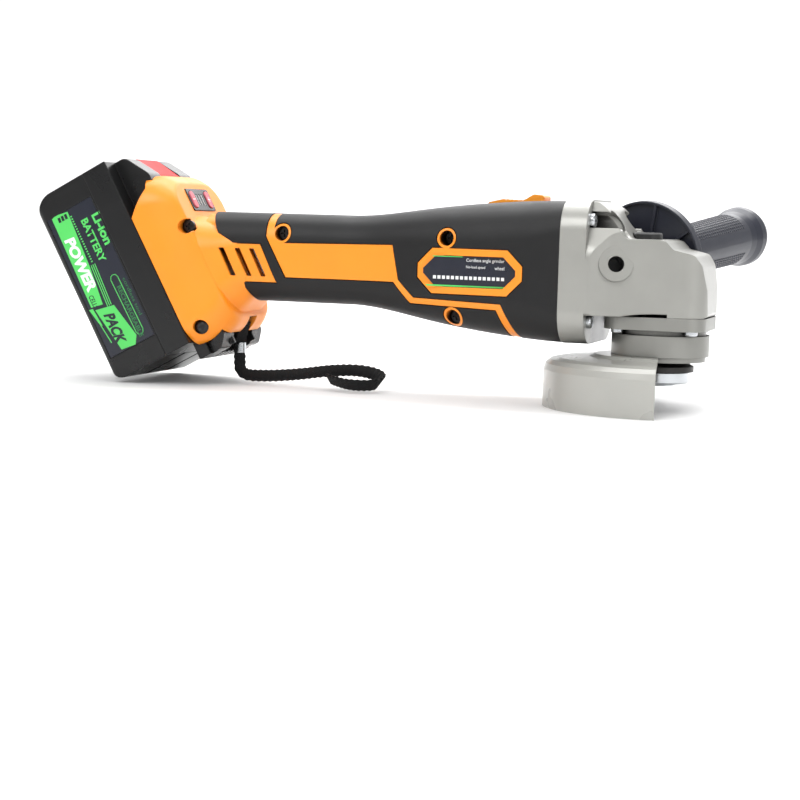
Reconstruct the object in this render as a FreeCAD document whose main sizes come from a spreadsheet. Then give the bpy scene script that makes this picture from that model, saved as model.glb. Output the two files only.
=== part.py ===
import FreeCAD, Part

import math
import os
import re

import Sketcher

# Cordless angle grinder, in millimetres.
#
# Row frame: the origin is the centre of the wheel seat, on the spindle axis. +Z points up along the
# spindle into the gear case, +X points to the front of the head and +Y to the side handle.
# Most pieces are drawn about the motor axis, which lies axis_height above the wheel seat, and are
# lifted by that height at the end. The battery pack and the slot that it slides in are drawn in a
# leaning frame: x away from the pack's mating face towards the head, z up along the slide.

doc = FreeCAD.newDocument("angle_grinder")

# --------------------------------------------------------------------------------------------
# driving dimensions
# --------------------------------------------------------------------------------------------

DIMENSIONS = (
    ("axis_height", 50.0, "motor axis above the wheel seat"),
    ("floor_drop", 69.5, "motor axis above the surface that the tool stands on"),
    ("wall", 2.6, "wall of the clamshell"),
    ("cover_t", 1.2, "thickness of the soft grip cover"),
    ("gap", 0.3, "clearance between neighbours that move"),
    ("slip", 0.02, "radial clearance of a running or seated fit"),
    ("body_front", 46.0, "spindle axis to the front end of the clamshell"),
    ("motor_length", 98.0, "length of the swollen motor section"),
    ("grip_length", 102.0, "motor section to the foot"),
    ("motor_top", 34.6, "motor section, height above the motor axis"),
    ("motor_low", 36.8, "motor section, depth below the motor axis"),
    ("motor_half", 35.6, "motor section, half width"),
    ("grip_top", 24.2, "grip, height above the motor axis"),
    ("grip_low", 23.0, "grip, depth below the motor axis"),
    ("grip_half", 23.3, "grip, half width"),
    ("lean", 28.5, "lean of the battery pack from upright, degrees"),
    ("foot_depth", 25.5, "thickness of the foot in front of the pack"),
    ("foot_height", 92.0, "height of the foot along the slide"),
    ("pack_length", 108.5, "battery pack along the slide"),
    ("pack_depth", 49.4, "battery pack behind its mating face"),
    ("pack_half", 37.0, "battery pack, half width"),
    ("pack_wall", 2.2, "wall of the battery case"),
    ("parting", 15.0, "depth of the case's parting line behind the mating face"),
    ("rail_depth", 16.0, "height of the pack's rail block"),
    ("rail_half", 26.0, "half width of the pack's rail block"),
    ("rail_tail", 9.0, "rail block below the lower end of the case"),
    ("cell_r", 9.2, "radius of an 18650 cell"),
    ("cell_length", 65.0, "length of an 18650 cell"),
    ("cell_pitch", 19.0, "cell spacing along the pack"),
    ("head_half", 26.0, "gear case, half width at the spindle"),
    ("head_nose", 26.0, "spindle axis to the front of the gear case"),
    ("case_low", 22.0, "motor axis down to the gear case's lower face"),
    ("case_top", 16.0, "motor axis up to the flat around the lock button"),
    ("flange_t", 13.4, "thickness of the gear case's rear flange"),
    ("cover_low", 28.5, "motor axis down to the lower face of the bearing cover plate"),
    ("collar_r", 23.0, "radius of the bearing cover's collar"),
    ("collar_low", 44.6, "motor axis down to the end of the collar"),
    ("boss_x", 18.0, "side handle bosses behind the spindle axis"),
    ("boss_y", 31.0, "side handle bosses from the middle plane"),
    ("boss_z", 4.0, "side handle bosses above the motor axis"),
    ("boss_r", 8.6, "radius of a side handle boss"),
    ("handle_forward", 18.0, "forward tilt of the side handle, degrees"),
    ("handle_up", 7.0, "upward tilt of the side handle, degrees"),
    ("handle_thread_r", 4.0, "M8 side handle thread, outer radius"),
    ("handle_thread_depth", 14.0, "depth of the side handle hole"),
    ("handle_length", 124.0, "side handle from its boss to its end"),
    ("handle_r", 14.0, "radius of the side handle grip"),
    ("hand_guard_r", 31.5, "radius of the side handle's flange"),
    ("guard_r", 58.9, "outer radius of the wheel guard"),
    ("guard_t", 1.6, "sheet thickness of the wheel guard"),
    ("guard_top", 42.0, "motor axis down to the top of the guard plate"),
    ("guard_start", 105.3, "angle at which the guard begins, from +X, degrees"),
    ("guard_angle", 173.4, "angle that the guard covers, degrees"),
    ("band_top", 31.2, "motor axis down to the top of the clamp band"),
    ("band_t", 1.8, "thickness of the clamp band"),
    ("ear_angle", 82.0, "angle of the clamp ears from +X, degrees"),
    ("ear_reach", 40.0, "spindle axis to the tips of the clamp ears"),
    ("ear_gap", 10.4, "distance between the clamp ears' middles"),
    ("clamp_screw_r", 2.5, "clamp screw radius"),
    ("spindle_r", 5.0, "M10 spindle radius"),
    ("spindle_end", 56.9, "motor axis down to the end of the spindle"),
    ("spindle_top", 4.8, "motor axis up to the top of the spindle"),
    ("journal_r", 3.5, "spindle's upper journal radius"),
    ("seat_r", 6.0, "spindle radius in its ball bearing"),
    ("flange_r", 17.5, "radius of the inner wheel flange"),
    ("flange_h", 4.4, "height of the inner wheel flange"),
    ("hub_r", 8.0, "radius of the wheel locating hub (16 mm wheel bore)"),
    ("hub_h", 1.6, "height of the wheel locating hub"),
    ("nut_r", 15.3, "radius of the wheel nut"),
    ("nut_h", 7.4, "height of the wheel nut"),
    ("pin_hole_r", 2.4, "radius of the nut's pin wrench holes"),
    ("pin_hole_place", 7.4, "nut's pin wrench holes, offset along X and Y"),
    ("gear_teeth", 33.0, "teeth of the bevel gear"),
    ("pinion_teeth", 11.0, "teeth of the pinion"),
    ("module_mm", 1.2, "gear module at the outer end of the teeth"),
    ("tooth_length", 6.3, "length of the teeth along the pitch cone"),
    ("backlash", 0.32, "play between the teeth at the pitch line"),
    ("lock_x", 8.5, "spindle lock behind the spindle axis"),
    ("lock_pin_r", 2.2, "radius of the lock pin"),
    ("lock_button_r", 7.5, "radius of the lock button"),
    ("lock_proud", 3.8, "lock button above the gear case"),
    ("shaft_r", 4.0, "motor shaft radius"),
    ("shaft_nose_r", 2.5, "motor shaft radius inside the pinion"),
    ("stator_r", 24.4, "outer radius of the motor stator"),
    ("stator_front", 76.0, "spindle axis to the front of the stator"),
    ("stator_length", 24.0, "length of the stator"),
    ("rotor_r", 13.0, "radius of the rotor magnet"),
    ("fan_r", 27.0, "radius of the fan"),
    ("fan_front", 49.0, "spindle axis to the front of the fan"),
    ("fan_length", 9.0, "length of the fan"),
    ("rear_bearing_x", 112.0, "spindle axis to the front of the rear motor bearing"),
    ("slider_rear", 92.0, "spindle axis to the rear end of the switch slider"),
    ("slider_length", 30.0, "length of the switch slider"),
    ("slider_half", 8.0, "half width of the switch slider"),
    ("slider_floor", 31.2, "motor axis up to the floor of the slider's recess"),
    ("switch_travel", 7.0, "travel of the switch slider"),
    ("badge_middle", 93.3, "spindle axis to the middle of the rating plate"),
    ("badge_long", 57.0, "length of the rating plate's bezel"),
    ("badge_high", 23.2, "height of the rating plate's bezel"),
    ("badge_z", -2.6, "middle of the rating plate above the motor axis"),
    ("screw_r", 1.8, "radius of a housing screw's thread"),
    ("screw_head_r", 3.1, "radius of a housing screw's head"),
    ("screw_boss_r", 5.2, "radius of a screw recess's rim"),
    ("panel_long", 28.0, "length of the speed panel"),
    ("panel_high", 13.0, "height of the speed panel"),
    ("panel_z", 72.5, "middle of the speed panel along the slide"),
    ("button_r", 3.0, "end radius of a speed button"),
    ("latch_half", 12.0, "half width of the latch button"),
    ("strap_d", 4.0, "diameter of the strap's simple tube"),
)

sheet = doc.addObject("Spreadsheet::Sheet", "dims")
for row, (alias, value, note) in enumerate(DIMENSIONS, start=1):
    sheet.set("A%d" % row, alias)
    sheet.set("B%d" % row, str(value))
    sheet.set("C%d" % row, note)
    sheet.setAlias("B%d" % row, alias)
doc.recompute()

ALIASES = {alias for alias, value, note in DIMENSIONS}
NODES = []

# Terminal blades across the tool, from the middle plane.
BLADE_PLACES = (-9.0, -3.0, 3.0, 9.0)

# Play between the clamshell and the soft cover on it.
COVER_PLAY = 0.06

# Radius of the screws that hold the gear case, and their length inside the clamshell.
FLANGE_SCREW_R = 2.0
FLANGE_SCREW_BITE = 10.0

# Depth of the wells that the battery case's screws sit in.
SCREW_WELL = 5.5


def size(alias):
    """The value of one driving dimension."""
    return float(sheet.get(alias))


def linked(text):
    """An expression in which each driving dimension's name points at its cell."""
    return re.sub(r"[a-z][a-z_]*[a-z]", lambda m: "dims." + m.group() if m.group() in ALIASES else m.group(),
                  str(text))


def vec(x, y, z):
    return FreeCAD.Vector(x, y, z)


# --------------------------------------------------------------------------------------------
# frames
# --------------------------------------------------------------------------------------------

LEAN = math.radians(size("lean"))
PACK_X = -(size("body_front") + size("motor_length") + size("grip_length"))
PACK_Z = -size("floor_drop") + size("pack_depth") * math.sin(LEAN)

motor_frame = FreeCAD.Placement(vec(0, 0, size("axis_height")), FreeCAD.Rotation())
shaft_frame = FreeCAD.Placement(vec(0, 0, size("axis_height")), FreeCAD.Rotation(vec(0, 1, 0), 90))
pack_frame = FreeCAD.Placement(vec(PACK_X, 0, PACK_Z + size("axis_height")),
                               FreeCAD.Rotation(vec(0, 1, 0), -size("lean")))
pack_local = FreeCAD.Placement(vec(PACK_X, 0, PACK_Z), FreeCAD.Rotation(vec(0, 1, 0), -size("lean")))


def handle_direction(side):
    """Unit vector along a side handle hole, outwards; side is +1 for +Y and -1 for -Y."""
    forward = math.radians(size("handle_forward"))
    up = math.radians(size("handle_up"))
    return vec(math.sin(forward) * math.cos(up), side * math.cos(forward) * math.cos(up), math.sin(up))


def boss_face(side):
    """Middle of a side handle boss's outer face, about the motor axis."""
    return vec(-size("boss_x"), side * size("boss_y"), size("boss_z"))


def handle_frame(lift):
    turn = FreeCAD.Rotation(vec(1, 0, 0), vec(0, 0, 1), handle_direction(1), "ZXY")
    return FreeCAD.Placement(boss_face(1) + vec(0, 0, lift), turn)


# --------------------------------------------------------------------------------------------
# building blocks
# --------------------------------------------------------------------------------------------


def node(obj, label, placement=None):
    """Make a finished sub-part of obj: its label names its file, its placement puts it in the row frame."""
    obj.Label = label
    if placement is not None:
        obj.Placement = placement
    NODES.append(obj)
    return obj


def feature(label, shape, placement=motor_frame):
    """A sub-part whose shape needs Part's own functions."""
    own_place = shape.Placement
    obj = doc.addObject("Part::Feature", label)
    obj.Shape = shape
    return node(obj, label, placement.multiply(own_place))


def primitive(kind, name, base, along, **sizes):
    """A Part primitive whose sizes and place are bound to the sheet."""
    obj = doc.addObject(kind, name)
    turns = {"Z": FreeCAD.Rotation(), "X": FreeCAD.Rotation(vec(0, 1, 0), 90),
             "Y": FreeCAD.Rotation(vec(1, 0, 0), -90), "-Y": FreeCAD.Rotation(vec(1, 0, 0), 90)}
    obj.Placement = FreeCAD.Placement(vec(0, 0, 0), turns[along])
    for name, text in sizes.items():
        obj.setExpression(name, linked(text))
    for letter, text in zip("xyz", base):
        obj.setExpression("Placement.Base." + letter, linked(text))
    return obj


def cylinder(name, radius, height, base=("0", "0", "0"), along="Z"):
    return primitive("Part::Cylinder", name, base, along, Radius=radius, Height=height)


def cut(name, base, tools):
    """base less every tool, as a chain of Part cuts."""
    for count, tool in enumerate(tools):
        obj = doc.addObject("Part::Cut", "%s_cut%d" % (name, count))
        obj.Base = base
        obj.Tool = tool
        base = obj
    return base


def outline_sketch(body, plane, outline):
    """A closed outline in one of the body's planes, every corner bound to the sheet."""
    sketch = body.newObject("Sketcher::SketchObject", body.Name + "_outline")
    origin_plane = [f for f in body.Origin.OriginFeatures if f.Role == plane][0]
    sketch.AttachmentSupport = (origin_plane, [""])
    sketch.MapMode = "FlatFace"
    corners = []
    for across, up in outline:
        corners.append((evaluate(across), evaluate(up)))
    count = len(corners)
    for i in range(count):
        a = corners[i]
        b = corners[(i + 1) % count]
        sketch.addGeometry(Part.LineSegment(vec(a[0], a[1], 0), vec(b[0], b[1], 0)), False)
    for i in range(count):
        sketch.addConstraint(Sketcher.Constraint("Coincident", i, 2, (i + 1) % count, 1))
    for i, (across, up) in enumerate(outline):
        for kind, axis, text, value in (("DistanceX", -2, across, corners[i][0]),
                                        ("DistanceY", -1, up, corners[i][1])):
            if str(text) == "0":
                sketch.addConstraint(Sketcher.Constraint("PointOnObject", i, 1, axis))
            else:
                number = sketch.addConstraint(Sketcher.Constraint(kind, -1, 1, i, 1, value))
                sketch.setExpression("Constraints[%d]" % number, linked(text))
    return sketch


def evaluate(text):
    """The number that an expression in driving dimensions gives."""
    return float(sheet.evalExpression(re.sub(r"dims\.", "", linked(text))))


def turned(label, outline, placement=motor_frame, angle="360"):
    """A PartDesign body turned about its own Z: the outline holds (radius, height) corners."""
    body = doc.addObject("PartDesign::Body", label)
    sketch = outline_sketch(body, "XZ_Plane", outline)
    turn = body.newObject("PartDesign::Revolution", label + "_turned")
    turn.Profile = (sketch, [""])
    turn.ReferenceAxis = (sketch, ["V_Axis"])
    turn.setExpression("Angle", linked(angle))
    body.Tip = turn
    doc.recompute()
    return node(body, label, placement)


def rounded_path(corners, closed=True):
    """A wire of straight runs and tangent arcs; each corner is (x, y, z, radius)."""
    count = len(corners)
    points = [vec(*corner[:3]) for corner in corners]
    edges = []
    ends = []
    for i in range(count):
        radius = corners[i][3]
        if radius <= 0 or (not closed and i in (0, count - 1)):
            ends.append((points[i], points[i]))
            continue
        before = (points[i - 1] - points[i]).normalize()
        after = (points[(i + 1) % count] - points[i]).normalize()
        half = before.getAngle(after) / 2
        back = radius / math.tan(half)
        start = points[i] + before * back
        end = points[i] + after * back
        towards = (before + after).normalize()
        middle = points[i] + towards * (radius / math.sin(half) - radius)
        ends.append((start, end))
        edges.append((i, Part.Arc(start, middle, end).toShape()))
    arcs = dict(edges)
    ordered = []
    for i in range(count):
        if i in arcs:
            ordered.append(arcs[i])
        if closed or i < count - 1:
            a = ends[i][1]
            b = ends[(i + 1) % count][0]
            if a.distanceToPoint(b) > 1e-6:
                ordered.append(Part.LineSegment(a, b).toShape())
    return Part.Wire(ordered)


def prism(plane, corners, low, high):
    """A closed rounded outline in plane XZ, XY or YZ, extruded along the third axis from low to high."""
    if plane == "XZ":
        wire = rounded_path([(a, low, b, r) for a, b, r in corners])
        along = vec(0, high - low, 0)
    elif plane == "XY":
        wire = rounded_path([(a, b, low, r) for a, b, r in corners])
        along = vec(0, 0, high - low)
    else:
        wire = rounded_path([(low, a, b, r) for a, b, r in corners])
        along = vec(high - low, 0, 0)
    return Part.Face(wire).extrude(along)


def mirrored(corners):
    """An outline over y >= 0, closed by its mirror image over y <= 0; corners hold (along, y, radius)."""
    return list(corners) + [(a, -b, r) for a, b, r in reversed(corners)]


def rod(radius, start, end):
    """A round bar between two points."""
    way = end - start
    return Part.makeCylinder(radius, way.Length, start, way)


def block(x0, x1, y0, y1, z0, z1):
    return Part.makeBox(x1 - x0, y1 - y0, z1 - z0, vec(x0, y0, z0))


# --------------------------------------------------------------------------------------------
# the clamshell and its soft grip cover
# --------------------------------------------------------------------------------------------

# How the section swells from the grip to the motor: (share of motor_length behind the front end,
# share of the growth, corner radius as a share of the half width).
SWELL = ((0.0, 1.0, 0.48), (0.16, 0.97, 0.58), (0.46, 0.78, 0.66), (0.68, 0.56, 0.66), (0.857, 0.33, 0.66),
         (1.02, 0.12, 0.66), (1.22, 0.0, 0.66))


def section_wire(x, swell, corner, inwards):
    """The body's rounded section at x, drawn in by some amount all round."""
    def grown(name):
        return size("grip_" + name) + swell * (size("motor_" + name) - size("grip_" + name)) - inwards

    top = grown("top")
    low = grown("low")
    half = grown("half")
    radius = corner * min(half, (top + low) / 2)
    return rounded_path([(x, half, -low, radius), (x, half, top, radius),
                         (x, -half, top, radius), (x, -half, -low, radius)])


def body_loft(inwards, rear=0.0):
    """The body, drawn in by some amount all round: swelling motor section, then a plain grip."""
    front = -size("body_front")
    wires = [section_wire(front - share * size("motor_length"), swell, corner, inwards)
             for share, swell, corner in SWELL]
    grip_start = front - SWELL[-1][0] * size("motor_length")
    grip = Part.Face(wires[-1]).extrude(vec(PACK_X + rear - grip_start, 0, 0))
    return Part.makeLoft(wires, True, False).fuse(grip)


def in_pack_frame(shape):
    shape = shape.copy()
    shape.Placement = pack_local.multiply(shape.Placement)
    return shape


def foot_loft(stations):
    """A smooth solid through rounded sections across the foot.

    Each section holds its distance from the pack, its lowest and highest point along the slide, its
    half width and its corner radius.
    """
    wires = []
    for x, low, high, half, radius in stations:
        wires.append(rounded_path([(x, half, low, radius), (x, half, high, radius),
                                   (x, -half, high, radius), (x, -half, low, radius)]))
    return Part.makeLoft(wires, True, False)


def foot_solid():
    """The foot that carries the pack: a rounded block, and a neck that narrows into the grip."""
    depth = size("foot_depth")
    high = size("foot_height")
    half = size("pack_half")
    face = size("gap")
    front = depth + 0.4
    body = foot_loft([(face, -2.0, high - 1, half - 0.4, 13), (9, -3.4, high, half - 0.8, 15),
                      (18, -2.4, high - 1, half - 3.4, 17), (front, 2.5, high - 9, half - 7.6, 15)])
    rim = [edge for edge in body.Edges if edge.BoundBox.XMin > front - 0.01]
    body = body.makeFillet(3.4, rim)
    neck = foot_loft([(15, 0.0, high - 26, half - 4.6, 21), (depth, 4.6, high - 29, half - 7.8, 20),
                      (35, 8.6, high - 36, half - 11.2, 17), (44, 12.0, high - 43, half - 14.2, 13),
                      (56, 14.5, high - 48, half - 15.2, 12)])
    notch = prism("XZ", [(-5, high - 18, 0), (face, high - 18, 0), (size("rail_depth") - 3, high - 6.5, 1),
                         (size("rail_depth") - 3, high + 9, 0), (-5, high + 9, 0)], -60, 60)
    return in_pack_frame(body.fuse(neck).cut(notch))


def foot_cavity():
    """The hollow of the foot, open to the grip."""
    high = size("foot_height")
    back = size("rail_depth") + size("gap") + 2.2
    front = size("foot_depth") - 2.6
    side = prism("XZ", [(back, 6, 1), (24, 8.5, 4), (36, 15, 4), (60, 20, 0), (60, 36, 0), (38, 47, 5),
                        (front, high - 36, 3), (front, high - 11, 2), (back, high - 9, 1)], -19.4, 19.4)
    return in_pack_frame(side)


def pack_channel():
    """The space that the pack's rail block slides through."""
    clear = size("gap")
    half = size("rail_half") + clear
    return in_pack_frame(block(-5, size("rail_depth") + clear, -half, half, -size("rail_tail") - 10,
                               size("pack_length") + 10))


def screw_places():
    """Housing screws: (x, z, outer end, inner end) along Y, from the -Y side."""
    front = -size("body_front")
    motor = size("motor_length")
    places = [(front - 0.614 * motor, 14.1, 18.5), (front - 0.582 * motor, -26.2, 15.5),
              (front - motor - 56.0, 13.7, 15.5)]
    return places


def foot_screw():
    """Middle of the foot's upper screw, about the motor axis."""
    return pack_local.multVec(vec(24.3, 0, 57.3))


def rail_screw():
    """Middle of the foot's lower screw, about the motor axis."""
    return pack_local.multVec(vec(9.0, 0, 5.0))


def stripe_prisms(grow):
    """The orange bands that show between the grip covers, as prisms through the whole body."""
    front = -size("body_front")
    motor = size("motor_length")
    rear = front - motor - 58.0
    nose = front - 0.92 * motor
    waist = front - 0.80 * motor
    band = [(rear + 1.6, 8.6 + grow, 0), (nose - 0.5, 9.6 + grow, 0), (nose + 3.2 + grow, -8.2, 0),
            (waist + grow, -17.0 + grow, 0), (front - 30.0, -18.4 + grow, 0), (front - 18.2 + grow, -45, 0),
            (front - 23.4 - grow, -45, 0), (front - 32.6, -21.4 - grow, 0), (waist - 2.4, -20.0 - grow, 0),
            (nose + 0.4, -9.4 - grow, 0), (rear + 5.0 - grow, -9.4 - grow, 0), (rear - 6.6 - grow, 12, 0),
            (rear - 7.6 - grow, 30, 0), (rear - 3.2 + grow, 30, 0), (rear - 2.6 + grow, 15, 0)]
    return prism("XZ", band, -60, 60)


def belly_slots(grow):
    """Three short orange bars across the belly."""
    bars = []
    for step in range(3):
        x = -size("body_front") - 53.0 - 9.4 * step
        half = 11.6
        wide = 2.0 + grow
        bars.append(prism("XY", [(x - wide, -half - grow, wide - 0.01), (x + wide, -half - grow, wide - 0.01),
                                 (x + wide, half + grow, wide - 0.01), (x - wide, half + grow, wide - 0.01)],
                          -60, -20))
    return bars


def vent_patch(grow):
    """The orange field around the cooling slots on each side of the grip's rear end."""
    front = -size("body_front")
    rear = PACK_X + 1.0
    mouth = front - size("motor_length") - 68.0
    return prism("XZ", [(rear - 20, 7.6 + grow, 0), (mouth + grow, 7.6 + grow, 0),
                        (mouth + 9.5 + grow, -12.4 - grow, 0),
                        (rear - 12, -12.4 - grow, 0)], -60, 60)


def vent_slots():
    """Cooling slots in that field, slanted like the foot."""
    slots = []
    front = -size("body_front") - size("motor_length")
    for step in range(3):
        x = front - 89.5 + 8.2 * step
        slots.append(prism("XZ", [(x - 1.4, 5.2, 0.4), (x + 1.4, 5.2, 0.4), (x + 8.8, -9.4, 0.4),
                                  (x + 6.0, -9.4, 0.4)],
                           -60, 60))
    return slots


def badge_prism(grow, low, high):
    """The long octagon of the rating plate, extruded along Y."""
    middle = -size("badge_middle")
    z = size("badge_z")
    long = size("badge_long") / 2 + grow
    high_half = size("badge_high") / 2 + grow
    corner = 8.0 + 0.4 * grow
    points = [(-long, -high_half + corner), (-long + corner, -high_half), (long - corner, -high_half),
              (long, -high_half + corner), (long, high_half - corner), (long - corner, high_half),
              (-long + corner, high_half), (-long, high_half - corner)]
    return prism("XZ", [(middle + a, z + b, 0) for a, b in points], low, high)


def slider_recess():
    front = -(size("slider_rear") - size("slider_length")) + size("switch_travel") + 1.0
    return block(-size("slider_rear") - 1.0, front, -size("slider_half") - 0.8, size("slider_half") + 0.8,
                 size("slider_floor"), 60)


def slider_slot():
    rear = -size("slider_rear") + 9.0
    return block(rear, rear + 10.6 + size("switch_travel"), -4.0, 4.0, 20, 60)


def strap_slot():
    """The mouth in the foot's underside through which the strap loops round its bar."""
    return in_pack_frame(block(14.0, 25.2, -5.0, 5.0, -12, 7))


def strap_bar_place():
    """Middle of the strap's bar, in the pack's frame."""
    return vec(size("rail_depth") + 4.2, 0, 2.8)


def foot_rails():
    """The two rails on the foot that run in the pack's grooves."""
    rails = []
    for side in (1, -1):
        y = sorted((side * (size("rail_half") - 2.6), side * (size("rail_half") + 3.0)))
        rails.append(in_pack_frame(block(4.4, 7.6, y[0], y[1], 0, size("foot_height") - 26)))
    return rails


def make_clamshell():
    cover = size("cover_t")
    wall = size("wall")
    half = size("motor_half")
    outer = body_loft(cover)
    inner = body_loft(cover + wall, rear=8.0)
    skin = body_loft(0.25)
    foot = foot_solid()
    hull = outer.fuse(foot)

    raised = skin.common(stripe_prisms(0))
    for piece in belly_slots(0) + [badge_prism(0, -60, 60)]:
        raised = raised.fuse(skin.common(piece))
    neck = skin.common(vent_patch(0))
    hull = hull.fuse(raised).fuse(neck)

    hollow = inner.fuse(foot_cavity())
    shell = hull.cut(hollow)

    # bulkhead that seats the rear motor bearing, ribs around the stator and the switch lugs
    bearing_x = -size("rear_bearing_x")
    bulkhead = Part.makeCylinder(60, 7.0, vec(bearing_x - 7.4, 0, 0),
                                 vec(1, 0, 0)).common(body_loft(cover + 0.5))
    bulkhead = bulkhead.cut(Part.makeCylinder(9.5 + size("slip"), 6.4, vec(bearing_x - 6.4, 0, 0),
                                              vec(1, 0, 0)))
    bulkhead = bulkhead.cut(Part.makeCylinder(6.5, 20, vec(bearing_x - 12, 0, 0), vec(1, 0, 0)))
    for x in (-size("stator_front") - 5.0, -size("stator_front") - size("stator_length") + 2.0):
        rib = Part.makeCylinder(60, 3.0, vec(x, 0, 0), vec(1, 0, 0)).common(body_loft(cover + 0.5))
        bulkhead = bulkhead.fuse(rib.cut(Part.makeCylinder(size("stator_r") + size("slip"), 4,
                                                           vec(x - 0.5, 0, 0),
                                                           vec(1, 0, 0))))
    for side in (1, -1):
        y = sorted((side * 4.2, side * 7.0))
        lug = block(-75.0, -61.0, y[0], y[1], 15.0, 40).common(body_loft(cover + 0.5))
        bulkhead = bulkhead.fuse(lug)
    for y, z in flange_screw_places():
        boss = Part.makeCylinder(4.4, 14, vec(-size("body_front") - 14, y, z), vec(1, 0, 0))
        bulkhead = bulkhead.fuse(boss.common(body_loft(cover + 0.5)))
    shell = shell.fuse(bulkhead)
    for y, z in flange_screw_places():
        shell = shell.cut(Part.makeCylinder(FLANGE_SCREW_R + 0.03, 30, vec(-size("body_front") - 12, y, z),
                                            vec(1, 0, 0)))

    # screw bosses, with open recesses on the -Y side
    for x, z, deep in screw_places():
        post = Part.makeCylinder(4.2, 4 * half, vec(x, -2 * half, z), vec(0, 1, 0)).common(outer)
        rim = Part.makeCylinder(size("screw_boss_r"), half * 2, vec(x, -2 * half, z),
                                vec(0, 1, 0)).common(skin)
        shell = shell.fuse(post).fuse(rim.common(block(x - 9, x + 9, -60, -deep + 3, z - 9, z + 9)))
    upper = foot_screw()
    post = Part.makeCylinder(4.2, 2 * size("pack_half"), vec(upper.x, -size("pack_half"), upper.z),
                             vec(0, 1, 0))
    shell = shell.fuse(post.common(foot))
    for x, z, deep in screw_places() + [(upper.x, upper.z, 24.0)]:
        shell = shell.cut(Part.makeCylinder(3.9, 60, vec(x, -deep - 60, z), vec(0, 1, 0)))
        shell = shell.cut(Part.makeCylinder(size("screw_r") + 0.05, deep + 12.6, vec(x, -deep - 1, z),
                                            vec(0, 1, 0)))
    lower = rail_screw()
    shell = shell.cut(Part.makeCylinder(3.9, 20, vec(lower.x, -52.5, lower.z), vec(0, 1, 0)))

    for piece in vent_slots() + [pack_channel(), slider_recess(), slider_slot(), strap_slot()]:
        shell = shell.cut(piece)
    for rail in foot_rails():
        shell = shell.fuse(rail)
    place = strap_bar_place()
    shell = shell.cut(in_pack_frame(rod(1.2 + size("slip"), place - vec(0, 7.7, 0), place + vec(0, 7.7, 0))))
    badge = badge_prism(-3.6, -60, 60).cut(block(-300, 0, -30.6, 30.6, -60, 60))
    shell = shell.cut(badge)
    window = in_pack_frame(block(10, 30, -12.3, 12.3, 8.7, 38.3))
    pocket = in_pack_frame(panel_block(size("gap") * 0.4))
    shell = shell.cut(window).cut(pocket)

    for side, label in ((1, "body_shell_left"), (-1, "body_shell_right")):
        y = sorted((0.0, side * 80.0))
        feature(label, shell.common(block(-400, 50, y[0], y[1], -120, 120)))


def make_grip_covers():
    cover = size("cover_t")
    outer = body_loft(0.0)
    skin = outer.cut(body_loft(cover - COVER_PLAY)).cut(foot_solid())
    skin = skin.cut(stripe_prisms(0.4)).cut(vent_patch(0.4)).cut(badge_prism(0.4, -60, 60))
    for piece in belly_slots(0.4):
        skin = skin.cut(piece)
    for x, z, deep in screw_places():
        skin = skin.cut(Part.makeCylinder(size("screw_boss_r") + 0.4, 60, vec(x, -60, z), vec(0, 1, 0)))
    skin = skin.cut(in_pack_frame(block(-60, 36.5, -60, 60, -60, 130)))
    for piece in (slider_recess(), slider_slot()):
        skin = skin.cut(piece)
    for side, label in ((1, "grip_cover_left"), (-1, "grip_cover_right")):
        y = sorted((0.0, side * 80.0))
        feature(label, skin.common(block(-400, 50, y[0], y[1], -120, 120)))


def make_rating_plates():
    """The printed plates, sunk in the bezels on both sides."""
    for side, label in ((1, "rating_plate_left"), (-1, "rating_plate_right")):
        y = sorted((side * 30.6, side * 31.4))
        feature(label, badge_prism(-3.9, y[0], y[1]))


def make_housing_screws():
    """Self-tapping screws that hold the clamshell together; their heads sit in the recesses."""
    screws = []
    upper = foot_screw()
    for x, z, deep in screw_places() + [(upper.x, upper.z, 24.0)]:
        head = Part.makeCylinder(size("screw_head_r"), 2.2, vec(x, -deep - 2.25, z), vec(0, 1, 0))
        shank = Part.makeCylinder(size("screw_r"), deep + 11.0, vec(x, -deep - 0.2, z), vec(0, 1, 0))
        slot = block(x - 2, x + 2, -deep - 3, -deep - 1.2, z - 0.45, z + 0.45)
        cross = block(x - 0.45, x + 0.45, -deep - 3, -deep - 1.2, z - 2, z + 2)
        screws.append(head.fuse(shank).cut(slot).cut(cross))
    feature("housing_screws", Part.makeCompound(screws))


# --------------------------------------------------------------------------------------------
# gear case, bearing cover and their screws
# --------------------------------------------------------------------------------------------


def flange_screw_places():
    return [(y, z) for y in (-25.5, 25.5) for z in (-25.0, 25.0)]


def cover_screw_places():
    return [(x, y) for x in (-18.5, 18.5) for y in (-18.7, 18.7)]


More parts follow.
